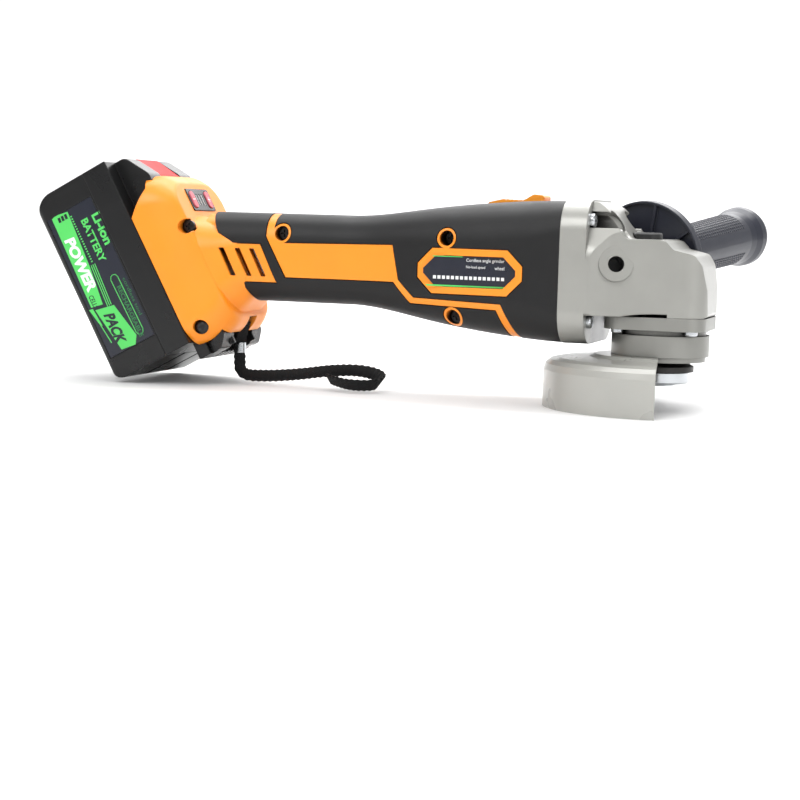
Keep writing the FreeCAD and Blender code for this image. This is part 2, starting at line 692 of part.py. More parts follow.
def make_gear_case():
    rear = -size("body_front")
    nose = size("head_nose")
    half = size("head_half")
    low = -size("case_low")
    top = size("case_top")
    flange_end = rear + size("flange_t")
    tall = size("motor_top") + 0.9

    flange = prism("YZ", [(size("motor_half"), -size("motor_low") - 0.2, 17), (size("motor_half"), tall, 17),
                          (-size("motor_half"), tall, 17),
                          (-size("motor_half"), -size("motor_low") - 0.2, 17)],
                   rear, flange_end)
    side = prism("XZ", [(flange_end - 1, low, 0), (nose, low, 2.5), (nose - 0.6, -8, 8), (nose - 2.8, 4, 5),
                        (nose - 6.4, 9.4, 4), (9.2, 11.8, 2.5), (5.6, top - 0.4, 2), (2.4, top + 0.5, 2),
                        (-14.0, top + 0.4, 3), (-24.5, 30.8, 6), (-29.5, tall - 1.2, 4),
                        (flange_end - 1, tall - 0.6, 0)],
                 -60, 60)
    plan = prism("XY", mirrored([(flange_end - 1, size("motor_half"), 0),
                                 (flange_end + 2, size("motor_half"), 4),
                                 (-21, half + 4.4, 12), (2, half, 20), (nose, half - 0.6, 13)]), -60, 60)
    front = prism("YZ", [(-size("motor_half"), low, 2), (size("motor_half"), low, 2),
                         (size("motor_half"), 9, 16),
                         (18, tall + 6, 14), (-18, tall + 6, 14), (-size("motor_half"), 9, 16)], -60, 60)
    case = side.common(plan).common(front).fuse(flange)
    for side_sign in (1, -1):
        way = handle_direction(side_sign)
        face = boss_face(side_sign)
        case = case.fuse(rod(size("boss_r"), face - way * 22, face))

    # fan chamber, front bearing seat, shaft passage and gear chamber
    case = case.cut(Part.makeCylinder(30, 5.4, vec(rear - 0.01, 0, 0), vec(1, 0, 0)))
    case = case.cut(Part.makeCylinder(11 + size("slip"), 7.0, vec(rear + 5.0, 0, 0), vec(1, 0, 0)))
    case = case.cut(Part.makeCylinder(6.5, 20, vec(rear + 5.0, 0, 0), vec(1, 0, 0)))
    case = case.cut(Part.makeCylinder(9.0, 24, vec(-34, 0, 0), vec(1, 0, 0)))
    case = case.cut(Part.makeCylinder(22.5, 20.5, vec(0, 0, low - 0.01)))
    bush = Part.makeCylinder(7.4, 12, vec(0, 0, -2.4)).cut(block(-60, -12.2, -60, 60, -60, 60))
    case = case.fuse(bush)
    case = case.cut(Part.makeCylinder(4.9 + size("slip"), 8.0, vec(0, 0, -2.6)))
    case = case.cut(Part.makeCylinder(size("lock_button_r") + size("gap"), 30, vec(-size("lock_x"), 0, 7.0)))
    case = case.cut(Part.makeCylinder(size("lock_pin_r") + 0.05, 40, vec(-size("lock_x"), 0, -20)))

    # air outlets through the sloping shoulder, one each side
    for side_sign in (1, -1):
        y = side_sign * 17.5
        port = prism("YZ", [(y - 5.2, 16.5, 5.0), (y + 5.2, 16.5, 5.0), (y + 5.2, 29.5, 5.0),
                            (y - 5.2, 29.5, 5.0)],
                     rear + 3, 0)
        case = case.cut(port)
        mouth = vec(0.66, side_sign * 0.56, 0.50)
        case = case.cut(rod(6.4, vec(-20.5, y, 25.0) - mouth * 5.0, vec(-20.5, y, 25.0) + mouth * 30.0))
        way = handle_direction(side_sign)
        face = boss_face(side_sign)
        case = case.cut(rod(size("handle_thread_r"), face - way * size("handle_thread_depth"),
                            face + way * 3))
    for y, z in flange_screw_places():
        case = case.cut(Part.makeCylinder(FLANGE_SCREW_R + 0.05, 30, vec(rear - 1, y, z), vec(1, 0, 0)))
        case = case.cut(Part.makeCylinder(4.8, 40, vec(flange_end, y, z), vec(1, 0, 0)))
    for x, y in cover_screw_places():
        case = case.cut(Part.makeCylinder(1.55, 12, vec(x, y, low - 0.01)))
    feature("gear_case", case)


def make_bearing_cover():
    low = -size("case_low")
    plate_low = -size("cover_low")
    half = size("head_half")
    plate = prism("XY", [(-half, -half, 11), (half - 0.6, -half, 11), (half - 0.6, half, 11),
                         (-half, half, 11)],
                  plate_low, low)
    collar = Part.makeCylinder(size("collar_r"), size("collar_low") - size("cover_low") + 0.5,
                               vec(0, 0, -size("collar_low")))
    cover = plate.fuse(collar)
    cover = cover.cut(Part.makeCylinder(16 + size("slip"), 12.0, vec(0, 0, plate_low - 11.0)))
    cover = cover.cut(Part.makeCylinder(16 + size("slip"), 20, vec(0, 0, plate_low)))
    cover = cover.cut(Part.makeCylinder(8.6, 60, vec(0, 0, -60)))
    cover = cover.cut(block(-30, -size("collar_r") + 1.4, -2.6, 2.6, -50, -size("cover_low") - 0.01))
    for x, y in cover_screw_places():
        cover = cover.cut(Part.makeCylinder(2.05, 20, vec(x, y, plate_low - 5)))
    feature("bearing_cover", cover)


def cross_screw(head_r, head_h, shank_r, shank_length):
    """A pan head cross-slot screw: head below z = 0, shank up from it."""
    head = Part.makeCylinder(head_r, head_h, vec(0, 0, -head_h))
    rim = [e for e in head.Edges if e.BoundBox.ZMax < -head_h + 0.01 and e.Closed]
    head = head.makeFillet(head_h * 0.45, rim)
    shank = Part.makeCylinder(shank_r, shank_length, vec(0, 0, -0.1))
    arm = head_r * 0.6
    slots = block(-arm, arm, -0.45, 0.45, -head_h - 1, -head_h * 0.4)
    slots = slots.fuse(block(-0.45, 0.45, -arm, arm, -head_h - 1, -head_h * 0.4))
    return head.fuse(shank).cut(slots)


def make_case_screws():
    screws = []
    for x, y in cover_screw_places():
        screw = cross_screw(3.3, 2.3, 1.5, 16.0)
        screw.Placement = FreeCAD.Placement(vec(x, y, -size("cover_low")), FreeCAD.Rotation())
        screws.append(screw)
    feature("cover_screws", Part.makeCompound(screws))

    screws = []
    face = -size("body_front") + size("flange_t")
    for y, z in flange_screw_places():
        screw = cross_screw(3.8, 2.6, FLANGE_SCREW_R, size("flange_t") + FLANGE_SCREW_BITE)
        screw.Placement = FreeCAD.Placement(vec(face, y, z), FreeCAD.Rotation(vec(0, 1, 0), -90))
        screws.append(screw)
    feature("flange_screws", Part.makeCompound(screws))


# --------------------------------------------------------------------------------------------
# spindle, gears and wheel fixing
# --------------------------------------------------------------------------------------------


def make_spindle():
    turned("spindle", [
        ("0", "-spindle_end + 1.2"), ("1.1", "-spindle_end"), ("spindle_r - 0.8", "-spindle_end"),
        ("spindle_r", "-spindle_end + 0.8"), ("spindle_r", "-axis_height + flange_h"),
        ("seat_r", "-axis_height + flange_h"), ("seat_r", "-29"), ("spindle_r", "-29"), ("spindle_r", "-4.2"),
        ("journal_r", "-4.2"), ("journal_r", "spindle_top"), ("0", "spindle_top")])
    turned("inner_flange", [
        ("spindle_r + slip", "-axis_height + flange_h"), ("flange_r - 3", "-axis_height + flange_h"),
        ("flange_r", "-axis_height + flange_h - 1.6"), ("flange_r", "-axis_height"),
                            ("hub_r", "-axis_height"),
        ("hub_r", "-axis_height - hub_h"), ("spindle_r + slip", "-axis_height - hub_h")])
    turned("spindle_bearing", [
        ("seat_r + slip", "-39.4"), ("16", "-39.4"), ("16", "-29.4"), ("14", "-29.4"), ("13.6", "-29.8"),
        ("8.4", "-29.8"), ("8", "-29.4"), ("seat_r + slip", "-29.4")])
    turned("top_bush", [
        ("journal_r + slip", "-2.2"), ("4.9", "-2.2"), ("4.9", "spindle_top + 0.3"),
        ("journal_r + slip", "spindle_top + 0.3")])
    turned("retaining_ring", [
        ("spindle_r + slip", "-28.8"), ("8.2", "-28.8"), ("8.2", "-27.8"), ("spindle_r + slip", "-27.8")])
    turned("felt_seal", [
        ("seat_r + 0.1", "-collar_low + 0.5"), ("8.5", "-collar_low + 0.5"), ("8.5", "-40"),
                         ("seat_r + 0.1", "-40")])


def make_wheel_nut():
    body = turned("nut_blank", [
        ("spindle_r + gap * 0.3", "-axis_height - nut_h"), ("8", "-axis_height - nut_h"),
        ("8.6", "-axis_height - nut_h + 1.4"), ("nut_r - 0.8", "-axis_height - nut_h + 1.4"),
        ("nut_r", "-axis_height - nut_h + 2.2"), ("nut_r", "-axis_height - 0.4"),
        ("hub_r + gap", "-axis_height - 0.4"), ("hub_r + gap", "-axis_height - hub_h - 0.4"),
        ("spindle_r + gap * 0.3", "-axis_height - hub_h - 0.4")])
    NODES.remove(body)
    body.Placement = FreeCAD.Placement()
    holes = []
    for x in (1, -1):
        for y in (1, -1):
            holes.append(cylinder("nut_hole", "pin_hole_r", "nut_h + 2",
                                  ("%d * pin_hole_place" % x, "%d * pin_hole_place" % y,
                                   "-axis_height - nut_h - 1")))
    node(cut("wheel_nut", body, holes), "wheel_nut", motor_frame)


def bevel_teeth(count, pitch_r, pitch_drop, turn):
    """Teeth about +Z whose pitch line passes (pitch_r, -pitch_drop) and the origin, standing up."""
    module = size("module_mm")
    rise = 0.85 * module
    drop = 1.30 * module
    pitch_half = math.pi * module / 4 - size("backlash") / 2
    slope = math.tan(math.radians(20))
    reach = math.hypot(pitch_r, pitch_drop)
    share = 1 - size("tooth_length") / reach
    # tooth height is measured square to the pitch line
    along = vec(pitch_r, 0, -pitch_drop).normalize()
    upright = vec(pitch_drop, 0, pitch_r).normalize()
    outer = []
    for height, half in ((-drop, pitch_half + drop * slope), (rise, pitch_half - rise * slope)):
        for side in (-1, 1):
            outer.append(along * reach + upright * height + vec(0, side * half, 0))
    a, b, c, d = outer
    quad = [a, b, d, c]
    inner = [point * share for point in quad]
    faces = [Part.Face(Part.makePolygon(quad + quad[:1])), Part.Face(Part.makePolygon(inner + inner[:1]))]
    for i in range(4):
        j = (i + 1) % 4
        faces.append(Part.Face(Part.makePolygon([quad[i], quad[j], inner[j], inner[i], quad[i]])))
    single = Part.makeSolid(Part.makeShell(faces))
    teeth = []
    for k in range(int(count)):
        copy = single.copy()
        copy.rotate(vec(0, 0, 0), vec(0, 0, 1), turn + 360.0 * k / count)
        teeth.append(copy)
    return teeth


def turned_shape(outline):
    """A solid turned about Z from (radius, height) corners."""
    points = [vec(r, 0, z) for r, z in outline]
    face = Part.Face(Part.makePolygon(points + points[:1]))
    return face.revolve(vec(0, 0, 0), vec(0, 0, 1), 360)


def make_gears():
    module = size("module_mm")
    gear_r = module * size("gear_teeth") / 2
    pinion_r = module * size("pinion_teeth") / 2
    share = 1 - size("tooth_length") / math.hypot(gear_r, pinion_r)
    drop = 1.12 * module
    rim = gear_r + 0.7

    blank = turned_shape([
        (size("spindle_r"), -17.0), (12.0, -17.0), (14.0, -14.0), (rim, -12.4), (rim, -pinion_r - drop),
        (gear_r * share, (-pinion_r - drop) * share), (12.6, -5.6), (11.2, -5.0), (size("spindle_r"), -5.0)])
    gear = blank.multiFuse(bevel_teeth(size("gear_teeth"), gear_r, pinion_r, 0))
    for k in range(4):
        angle = math.radians(90 * k)
        gear = gear.cut(Part.makeCylinder(size("lock_pin_r") + 0.25, 5.0,
                                          vec(-size("lock_x") * math.cos(angle),
                                              size("lock_x") * math.sin(angle), -9.0)))
    feature("bevel_gear", gear)

    # the pinion is drawn about Z with its teeth outwards, then turned to lie along the shaft
    blank = turned_shape([
        (size("shaft_nose_r") + size("slip"), -gear_r - 2.6), (pinion_r - 0.9, -gear_r - 2.6),
                          (pinion_r - drop, -gear_r - 0.4),
        ((pinion_r - drop) * share, -gear_r * share), (size("shaft_nose_r") + size("slip"), -gear_r * share)])
    teeth = []
    for tooth_solid in bevel_teeth(size("pinion_teeth"), pinion_r, gear_r, 0):
        teeth.append(tooth_solid)
    pinion = blank.multiFuse(teeth)
    feature("drive_pinion", pinion, shaft_frame)


def make_spindle_lock():
    top = size("case_top") + size("lock_proud")
    radius = size("lock_button_r")
    knob = turned_shape([(0, 12.4), (radius - 0.6, 12.4), (radius, 13.0), (radius, top - 0.9),
                         (radius - 0.9, top),
                         (radius - 2.0, top), (radius - 3.2, top - 0.9), (0, top - 1.1)])
    pin = Part.makeCylinder(size("lock_pin_r"), 16.6, vec(0, 0, -4.0))
    button = knob.fuse(pin)
    button.translate(vec(-size("lock_x"), 0, 0))
    feature("lock_button", button)
    coil = []
    for turn_count in range(3):
        ring = Part.makeTorus(3.4, 0.45, vec(-size("lock_x"), 0, 7.6 + 1.9 * turn_count))
        coil.append(ring)
    link = Part.makeCylinder(0.6, 3.8, vec(-size("lock_x") - 3.4, 0, 7.6))
    feature("lock_spring", coil[0].multiFuse(coil[1:] + [link]))


# --------------------------------------------------------------------------------------------
# wheel guard
# --------------------------------------------------------------------------------------------


def make_guard():
    turned("wheel_guard", [
        ("collar_r + band_t", "-guard_top"), ("33", "-guard_top"), ("36", "-guard_top - 1.4"),
        ("guard_r - 8", "-guard_top - 2.4"), ("guard_r - 3.4", "-guard_top - 3.4"),
        ("guard_r - 0.9", "-guard_top - 5.4"), ("guard_r", "-guard_top - 8.6"), ("guard_r", "-floor_drop"),
        ("guard_r - guard_t", "-floor_drop"), ("guard_r - guard_t", "-guard_top - 8.8"),
        ("guard_r - guard_t - 0.8", "-guard_top - 6.4"), ("guard_r - guard_t - 2.6", "-guard_top - 4.9"),
        ("guard_r - 8.4", "-guard_top - 2.4 - guard_t"), ("35.4", "-guard_top - 1.4 - guard_t"),
        ("32.4", "-guard_top - guard_t"), ("collar_r + band_t", "-guard_top - guard_t")],
        FreeCAD.Placement(vec(0, 0, size("axis_height")), FreeCAD.Rotation(vec(0, 0, 1),
                                                                           size("guard_start"))),
        "guard_angle")


def ear_frame():
    """Frame of the clamp ears: x outwards between the ears, y across them, on the spindle axis."""
    return FreeCAD.Placement(vec(0, 0, 0), FreeCAD.Rotation(vec(0, 0, 1), size("ear_angle")))


def make_guard_clamp():
    inner = size("collar_r") + 0.1
    outer = size("collar_r") + size("band_t")
    high = size("guard_top") - size("band_top")
    band = Part.makeCylinder(outer, high, vec(0, 0, -size("guard_top")))
    band = band.cut(Part.makeCylinder(inner, high + 2, vec(0, 0, -size("guard_top") - 1)))
    middle = size("ear_gap") / 2
    slot = block(0, 60, -middle + 0.9, middle - 0.9, -60, 0)
    slot.Placement = ear_frame()
    clamp = band.cut(slot)
    screw_x = size("ear_reach") - 6.0
    screw_z = -(size("guard_top") + size("band_top")) / 2
    for side in (1, -1):
        y = side * middle
        ear = block(math.sqrt(outer ** 2 - middle ** 2) - 1.6, size("ear_reach"), y - 0.9, y + 0.9,
                    -size("guard_top"), -size("band_top"))
        hole = Part.makeCylinder(size("clamp_screw_r") + 0.1, 8, vec(screw_x, y - 4, screw_z), vec(0, 1, 0))
        ear = ear.cut(hole)
        ear.Placement = ear_frame()
        clamp = clamp.fuse(ear)
    feature("guard_clamp", clamp)

    # the screw's head is on the front ear, its square nut behind the rear ear
    screw = cross_screw(4.4, 3.0, size("clamp_screw_r"), 21.0)
    place = FreeCAD.Placement(vec(screw_x, -middle - 0.9, screw_z), FreeCAD.Rotation(vec(1, 0, 0), -90))
    screw.Placement = ear_frame().multiply(place)
    feature("clamp_screw", screw)
    nut = block(screw_x - 4, screw_x + 4, middle + 0.9, middle + 5.1, screw_z - 4, screw_z + 4)
    nut = nut.cut(Part.makeCylinder(size("clamp_screw_r") + size("slip"), 12,
                                    vec(screw_x, middle - 2, screw_z),
                                    vec(0, 1, 0)))
    nut.Placement = ear_frame()
    feature("clamp_nut", nut)


# --------------------------------------------------------------------------------------------
# motor
# --------------------------------------------------------------------------------------------


def make_motor():
    """Drawn about the shaft, with heights measured along it from the spindle axis (negative is rearward)."""
    turned("motor_shaft", [
        ("0", "-rear_bearing_x - 6.8"), ("3.5", "-rear_bearing_x - 6.8"), ("3.5", "-rear_bearing_x + 0.4"),
        ("shaft_r", "-rear_bearing_x + 0.4"), ("shaft_r", "-module_mm * gear_teeth / 2 - 3.4"),
        ("shaft_nose_r", "-module_mm * gear_teeth / 2 - 3.4"), ("shaft_nose_r", "-13.6"), ("0", "-13.6")],
           shaft_frame)
    turned("rotor_magnet", [
        ("shaft_r + slip", "-stator_front - stator_length - 1"),
                            ("rotor_r", "-stator_front - stator_length - 1"),
        ("rotor_r", "-stator_front + 1"), ("shaft_r + slip", "-stator_front + 1")], shaft_frame)
    turned("front_bearing", [
        ("shaft_r + slip", "-body_front + 5"), ("11", "-body_front + 5"), ("11", "-body_front + 12"),
        ("9.4", "-body_front + 12"), ("9", "-body_front + 11.6"), ("6.2", "-body_front + 11.6"),
        ("5.8", "-body_front + 12"), ("shaft_r + slip", "-body_front + 12")], shaft_frame)
    turned("rear_bearing", [
        ("3.5 + slip", "-rear_bearing_x - 6.4"), ("9.5", "-rear_bearing_x - 6.4"),
                            ("9.5", "-rear_bearing_x - 0.4"),
        ("3.5 + slip", "-rear_bearing_x - 0.4")], shaft_frame)
    turned("air_baffle", [
        ("fan_r - 8", "-fan_front - fan_length - 2.4"), ("fan_r + 2.5", "-fan_front - fan_length - 2.4"),
        ("fan_r + 2.5", "-fan_front - fan_length - 0.9"), ("fan_r - 8", "-fan_front - fan_length - 0.9")],
           shaft_frame)


def make_stator():
    """Laminated ring with six wound teeth."""
    front = -size("stator_front")
    long = size("stator_length")
    radius = size("stator_r")
    bore = size("rotor_r") + 0.6
    ring = Part.makeCylinder(radius, long - 8, vec(front - long + 4, 0, 0), vec(1, 0, 0))
    ring = ring.cut(Part.makeCylinder(radius - 3.6, long, vec(front - long, 0, 0), vec(1, 0, 0)))
    pole = block(front - long + 4, front - 4, -2.4, 2.4, bore - 0.4, radius - 3)
    shoe = block(front - long + 4, front - 4, -5.0, 5.0, bore - 0.4, bore + 1.6)
    coil = block(front - long, front, -4.6, 4.6, bore + 1.6, radius - 3.6)
    tooth_part = pole.fuse(shoe).fuse(coil)
    teeth = []
    for k in range(6):
        copy = tooth_part.copy()
        copy.rotate(vec(0, 0, 0), vec(1, 0, 0), 60 * k)
        teeth.append(copy)
    stator = ring.multiFuse(teeth)
    stator = stator.cut(Part.makeCylinder(bore, long + 2, vec(front - long - 1, 0, 0), vec(1, 0, 0)))
    feature("motor_stator", stator)


def make_fan():
    """A back plate with radial blades on a hub."""
    front = -size("fan_front")
    long = size("fan_length")
    radius = size("fan_r")
    fan = Part.makeCylinder(radius, 1.6, vec(front - long, 0, 0), vec(1, 0, 0))
    fan = fan.fuse(Part.makeCylinder(8, long, vec(front - long, 0, 0), vec(1, 0, 0)))
    blades = []
    for k in range(13):
        blade = block(front - long + 1, front, -0.7, 0.7, 7.5, radius)
        blade.rotate(vec(0, 0, 0), vec(1, 0, 0), 360.0 * k / 13)
        blades.append(blade)
    fan = fan.multiFuse(blades)
    fan = fan.cut(Part.makeCylinder(size("shaft_r") + size("slip"), long + 2, vec(front - long - 1, 0, 0),
                                    vec(1, 0, 0)))
    feature("motor_fan", fan)


# --------------------------------------------------------------------------------------------
# switch and electronics
# --------------------------------------------------------------------------------------------


def make_switch():
    rear = -size("slider_rear")
    front = rear + size("slider_length")
    floor = size("slider_floor") + size("gap")
    half = size("slider_half")
    cap = prism("XZ", [(rear, floor, 0), (front, floor, 0), (front + 0.6, floor + 5.6, 1.6),
                       (front - 5, floor + 6.2, 3),
                       (front - 10, floor + 3.0, 6), (rear + 9, floor + 3.4, 6),
                       (rear + 1.0, floor + 1.6, 1.2)],
                -half, half)
    plan = prism("XY", [(rear, -half, 3), (front + 1, -half, 3), (front + 1, half, 3), (rear, half, 3)], 0,
                 60)
    cap = cap.common(plan)
    for k in range(5):
        x = front - 19.5 + 2.2 * k
        cap = cap.cut(Part.makeCylinder(0.6, 20, vec(x, -10, floor + 3.5), vec(0, 1, 0)))
    slot_rear = rear + 9.0
    stem = block(slot_rear + 0.3, slot_rear + 10.3, -3.6, 3.6, 25.4, floor + 1.0)
    feature("switch_slider", cap.fuse(stem))

    case = block(-74.6, -61.4, -4.1, 4.1, 13.6, 23.4)
    lever = block(-73.5, -63.0, -2.4, 2.4, 23.4, 24.8).cut(block(-71.5, -60, -5, 5, 23.4, 24.0))
    feature("micro_switch", case.fuse(lever))


def make_control_board():
    """Motor controller: a board with its power transistors, capacitor and a heat spreader."""
    front = -size("body_front") - size("motor_length") - 6.0
    half = size("grip_half") - size("cover_t") - size("wall") - 0.3
    board = block(front - 42, front, -half, half, -8.0, -6.4)
    parts = [block(front - 8 - 9 * k, front - 2 - 9 * k, side * 8 - 3, side * 8 + 3, -6.4, -3.6)
             for k in range(3) for side in (1, -1)]
    parts.append(Part.makeCylinder(5.0, 14, vec(front - 40, -4, -1.4), vec(1, 0, 0)))
    parts.append(block(front - 40, front - 26, 4, 12, -6.4, -4.6))
    feature("control_board", board.multiFuse(parts))


def make_terminal_block():
    """Carries the blades that enter the battery pack."""
    base = block(size("rail_depth") + size("gap") - 8.0, 21.5, -12.0, 12.0, 9.0, 38.0)
    blades = [block(-0.6, size("rail_depth") - 6.0, y - 0.4, y + 0.4, 12.0, 30.0) for y in BLADE_PLACES]
    feature("terminal_block", base.multiFuse(blades), pack_frame)


def panel_block(grow):
    """The speed panel's outline on the foot, in the pack's frame."""
    depth = size("foot_depth")
    long = size("panel_long") / 2 + grow
    high = size("panel_high") / 2 + grow
    z = size("panel_z")
    return block(depth - 2.4 - grow, depth + 12, -long, long, z - high, z + high)


def speed_buttons():
    """Outlines of the two speed buttons in the panel: long holes across its ends."""
    radius = size("button_r")
    outlines = []
    for side in (1, -1):
        y = side * (size("panel_long") / 2 - radius - 1.4)
        z = size("panel_z")
        reach = size("panel_high") / 2 - 1.5
        outlines.append((side, [(y - radius + 0.6, z - reach, radius - 0.7),
                                (y + radius - 0.6, z - reach, radius - 0.7),
                                (y + radius - 0.6, z + reach, radius - 0.7),
                                (y - radius + 0.6, z + reach, radius - 0.7)]))
    return outlines


def make_panel():
    depth = size("foot_depth")
    face = depth + 0.9
    long = size("panel_long") / 2
    high = size("panel_high") / 2
    z = size("panel_z")
    panel = prism("YZ", [(-long, z - high, 1.5), (long, z - high, 1.5), (long, z + high, 1.5),
                         (-long, z + high, 1.5)],
                  depth - 2.3, face)
    for side, outline in speed_buttons():
        middle = (outline[0][0] + outline[1][0]) / 2
        hole = [(middle + (a - middle) * 1.12, b + math.copysign(size("gap"), b - z), r + 0.2) for a, b,
                r in outline]
        panel = panel.cut(prism("YZ", hole, depth - 1.4, face + 5))
    for k in range(3):
        y = -3.4 + 3.4 * k
        panel = panel.cut(block(face - 0.3, face + 1, y - 0.7, y + 0.7, z - 3.4, z + 3.4))
    feature("speed_panel", panel, pack_frame)
    for side, outline in speed_buttons():
        label = "speed_button_up" if side > 0 else "speed_button_down"
        feature(label, prism("YZ", outline, depth - 0.4, face + 0.6), pack_frame)


def make_strap_bar():
    """The steel pin across the foot's mouth that the strap is looped round."""
    place = strap_bar_place()
    feature("strap_bar", rod(1.2, place - vec(0, 7.6, 0), place + vec(0, 7.6, 0)), pack_frame)


# --------------------------------------------------------------------------------------------
# battery pack, drawn in the leaning frame
# --------------------------------------------------------------------------------------------


def pack_outer(inwards, x0, x1):
    """The pack's case between two depths, drawn in by some amount."""
    deep = size("pack_depth") - inwards
    high = size("pack_length")
    half = size("pack_half") - inwards
    side = prism("XZ", [(x1, inwards, 2 if x1 < 0 else 0.5), (x1, high - inwards, 0.5),
                        (-deep, high - inwards, 12), (-deep, inwards, 8)], -60, 60)
    plan = prism("XY", mirrored([(x1, half, 0.5), (-deep, half, 3.6 - inwards)]), -20, high + 20)
    return side.common(plan).common(block(x0, x1, -60, 60, -20, high + 20))


def rail_block(grow):
    """The raised block that slides in the foot."""
    deep = size("rail_depth") + grow
    half = size("rail_half") + grow
    return prism("XZ", [(-3, -size("rail_tail"), 0), (deep - 5, -size("rail_tail"), 3),
                        (deep, 2 - size("rail_tail") + 4, 3),
                        (deep, size("pack_length") - 15, 5), (deep - 9, size("pack_length") - 1, 5),
                        (-3, size("pack_length") - 1, 0)], -half, half)


def case_screw_places():
    return [(y, z) for y in (-19.0, 19.0) for z in (3.9, size("pack_length") - 3.9)]


def label_recesses(grow):
    """Shallow fields for the stickers on both sides of the case."""
    fields = []
    for side in (1, -1):
        y = sorted((side * (size("pack_half") - 0.5), side * 60.0))
        fields.append(block(-size("pack_depth") + 3.8 - grow, -size("parting") - 1.2 + grow, y[0], y[1],
                            13.0 - grow,
                            size("pack_length") - 13.0 + grow))
    return fields


def make_battery_case():
    deep = size("pack_depth")
    wall = size("pack_wall")
    parting = size("parting")
    outer = pack_outer(0, -deep - 1, -parting).cut(pack_outer(wall, -deep - 1, 0))
    for y in (-12.4, 12.4):
        outer = outer.cut(Part.makeCylinder(2.2, 80, vec(-deep - 10, y, -1.4), vec(1, 0, 0)))
    inside = pack_outer(0.3, -deep - 1, -parting)
    for y, z in case_screw_places():
        well = Part.makeCylinder(4.4, 7.0, vec(-deep + 0.4, y, z), vec(1, 0, 0))
        post = Part.makeCylinder(3.0, deep - 7 - parting, vec(-deep + 7, y, z), vec(1, 0, 0))
        outer = outer.fuse(well.common(inside)).fuse(post.common(inside))
    for y, z in case_screw_places():
        outer = outer.cut(Part.makeCylinder(3.2, 1 + SCREW_WELL, vec(-deep - 1, y, z), vec(1, 0, 0)))
        outer = outer.cut(Part.makeCylinder(1.5, 80, vec(-deep - 1, y, z), vec(1, 0, 0)))
    for recess in label_recesses(0.2):
        outer = outer.cut(recess)
    feature("battery_case_outer", outer, pack_frame)

    inner = pack_outer(0, -parting, 0).cut(pack_outer(wall, -deep - 1,
                                                      0).common(block(-60, -wall, -60, 60, -10, 130)))
    inner = inner.fuse(rail_block(0))
    hollow = block(-wall - 0.5, size("rail_depth") - wall, -size("rail_half") + wall,
                   size("rail_half") - wall,
                   wall, size("pack_length") - 30)
    inner = inner.cut(hollow)
    # slot for the tool's terminals, open at the lower end
    floor = 3.6
    tray = block(-wall, size("rail_depth") - wall / 2, -15.0, 15.0, -size("rail_tail") + 1, 44.0)
    inner = inner.fuse(tray)
    inner = inner.cut(block(floor, 40, -12.6, 12.6, -30, 42.0))
    for y in BLADE_PLACES:
        inner = inner.cut(block(-1.6, floor + 1, y - 0.9, y + 0.9, -30, 34.0))
    # guide grooves along both sides of the rail block
    for side in (1, -1):
        y = sorted((side * (size("rail_half") - 3.0), side * 60.0))
        inner = inner.cut(block(4.0, 8.0, y[0], y[1], -30, size("pack_length") - 26))
    # well for the latch at the upper end
    top = size("pack_length")
    inner = inner.cut(block(size("rail_depth") - 16.2, 40, -size("latch_half") - 0.4,
                            size("latch_half") + 0.4,
                            top - 26.4, top + 10))
    for y, z in case_screw_places():
        post = Part.makeCylinder(3.0, parting - 1.5, vec(-parting, y, z),
                                 vec(1, 0, 0)).common(pack_outer(0.3, -deep, 0))
        inner = inner.fuse(post).cut(Part.makeCylinder(1.45, 10, vec(-parting - 0.5, y, z), vec(1, 0, 0)))
    feature("battery_case_inner", inner, pack_frame)


def make_battery_screws():
    screws = []
    start = -size("pack_depth") + SCREW_WELL
    for y, z in case_screw_places():
        screw = cross_screw(2.6, 2.2, 1.4, 36.0)
        screw.Placement = FreeCAD.Placement(vec(start, y, z), FreeCAD.Rotation(vec(0, 1, 0), 90))
        screws.append(screw)
    feature("battery_screws", Part.makeCompound(screws), pack_frame)


def cell_places():
    """Middles of the ten cells: two layers of five."""
    first = size("pack_length") / 2 - 2 * size("cell_pitch")
    back = size("pack_depth") - size("pack_wall") - size("cell_r") - 1.2
    return [(x, first + k * size("cell_pitch")) for x in (-back,
                                                          -back + size("cell_pitch")) for k in range(5)]


def make_cells():
    half = size("cell_length") / 2
    cells = []
    for x, z in cell_places():
        can = Part.makeCylinder(size("cell_r"), size("cell_length") - 1.0, vec(x, -half, z), vec(0, 1, 0))
        cap = Part.makeCylinder(3.0, 1.2, vec(x, half - 1.2, z), vec(0, 1, 0))
        cells.append(can.fuse(cap))
    feature("battery_cells", Part.makeCompound(cells), pack_frame)
    for side, label in ((1, "cell_holder_left"), (-1, "cell_holder_right")):
        y = sorted((side * (half - 7.0), side * (half + 1.6)))
        xs = [x for x, z in cell_places()]
        reach = size("cell_r") + 0.6
        high = 2 * size("cell_pitch") + reach
        middle = size("pack_length") / 2
        holder = block(min(xs) - reach, max(xs) + reach, y[0], y[1], middle - high, middle + high)
        for x, z in cell_places():
            pocket = sorted((side * (half - 8.0), side * (half + 0.1)))
            holder = holder.cut(Part.makeCylinder(size("cell_r") + 0.1, pocket[1] - pocket[0],
                                                  vec(x, pocket[0], z),
                                                  vec(0, 1, 0)))
            holder = holder.cut(Part.makeCylinder(4.0, 20, vec(x, side * half - 10, z), vec(0, 1, 0)))
        for y_screw, z_screw in case_screw_places():
            holder = holder.cut(Part.makeCylinder(4.8, 90, vec(-60, y_screw, z_screw), vec(1, 0, 0)))
        feature(label, holder.common(pack_outer(size("pack_wall") + 0.3, -size("pack_depth"), -2.5)),
                pack_frame)


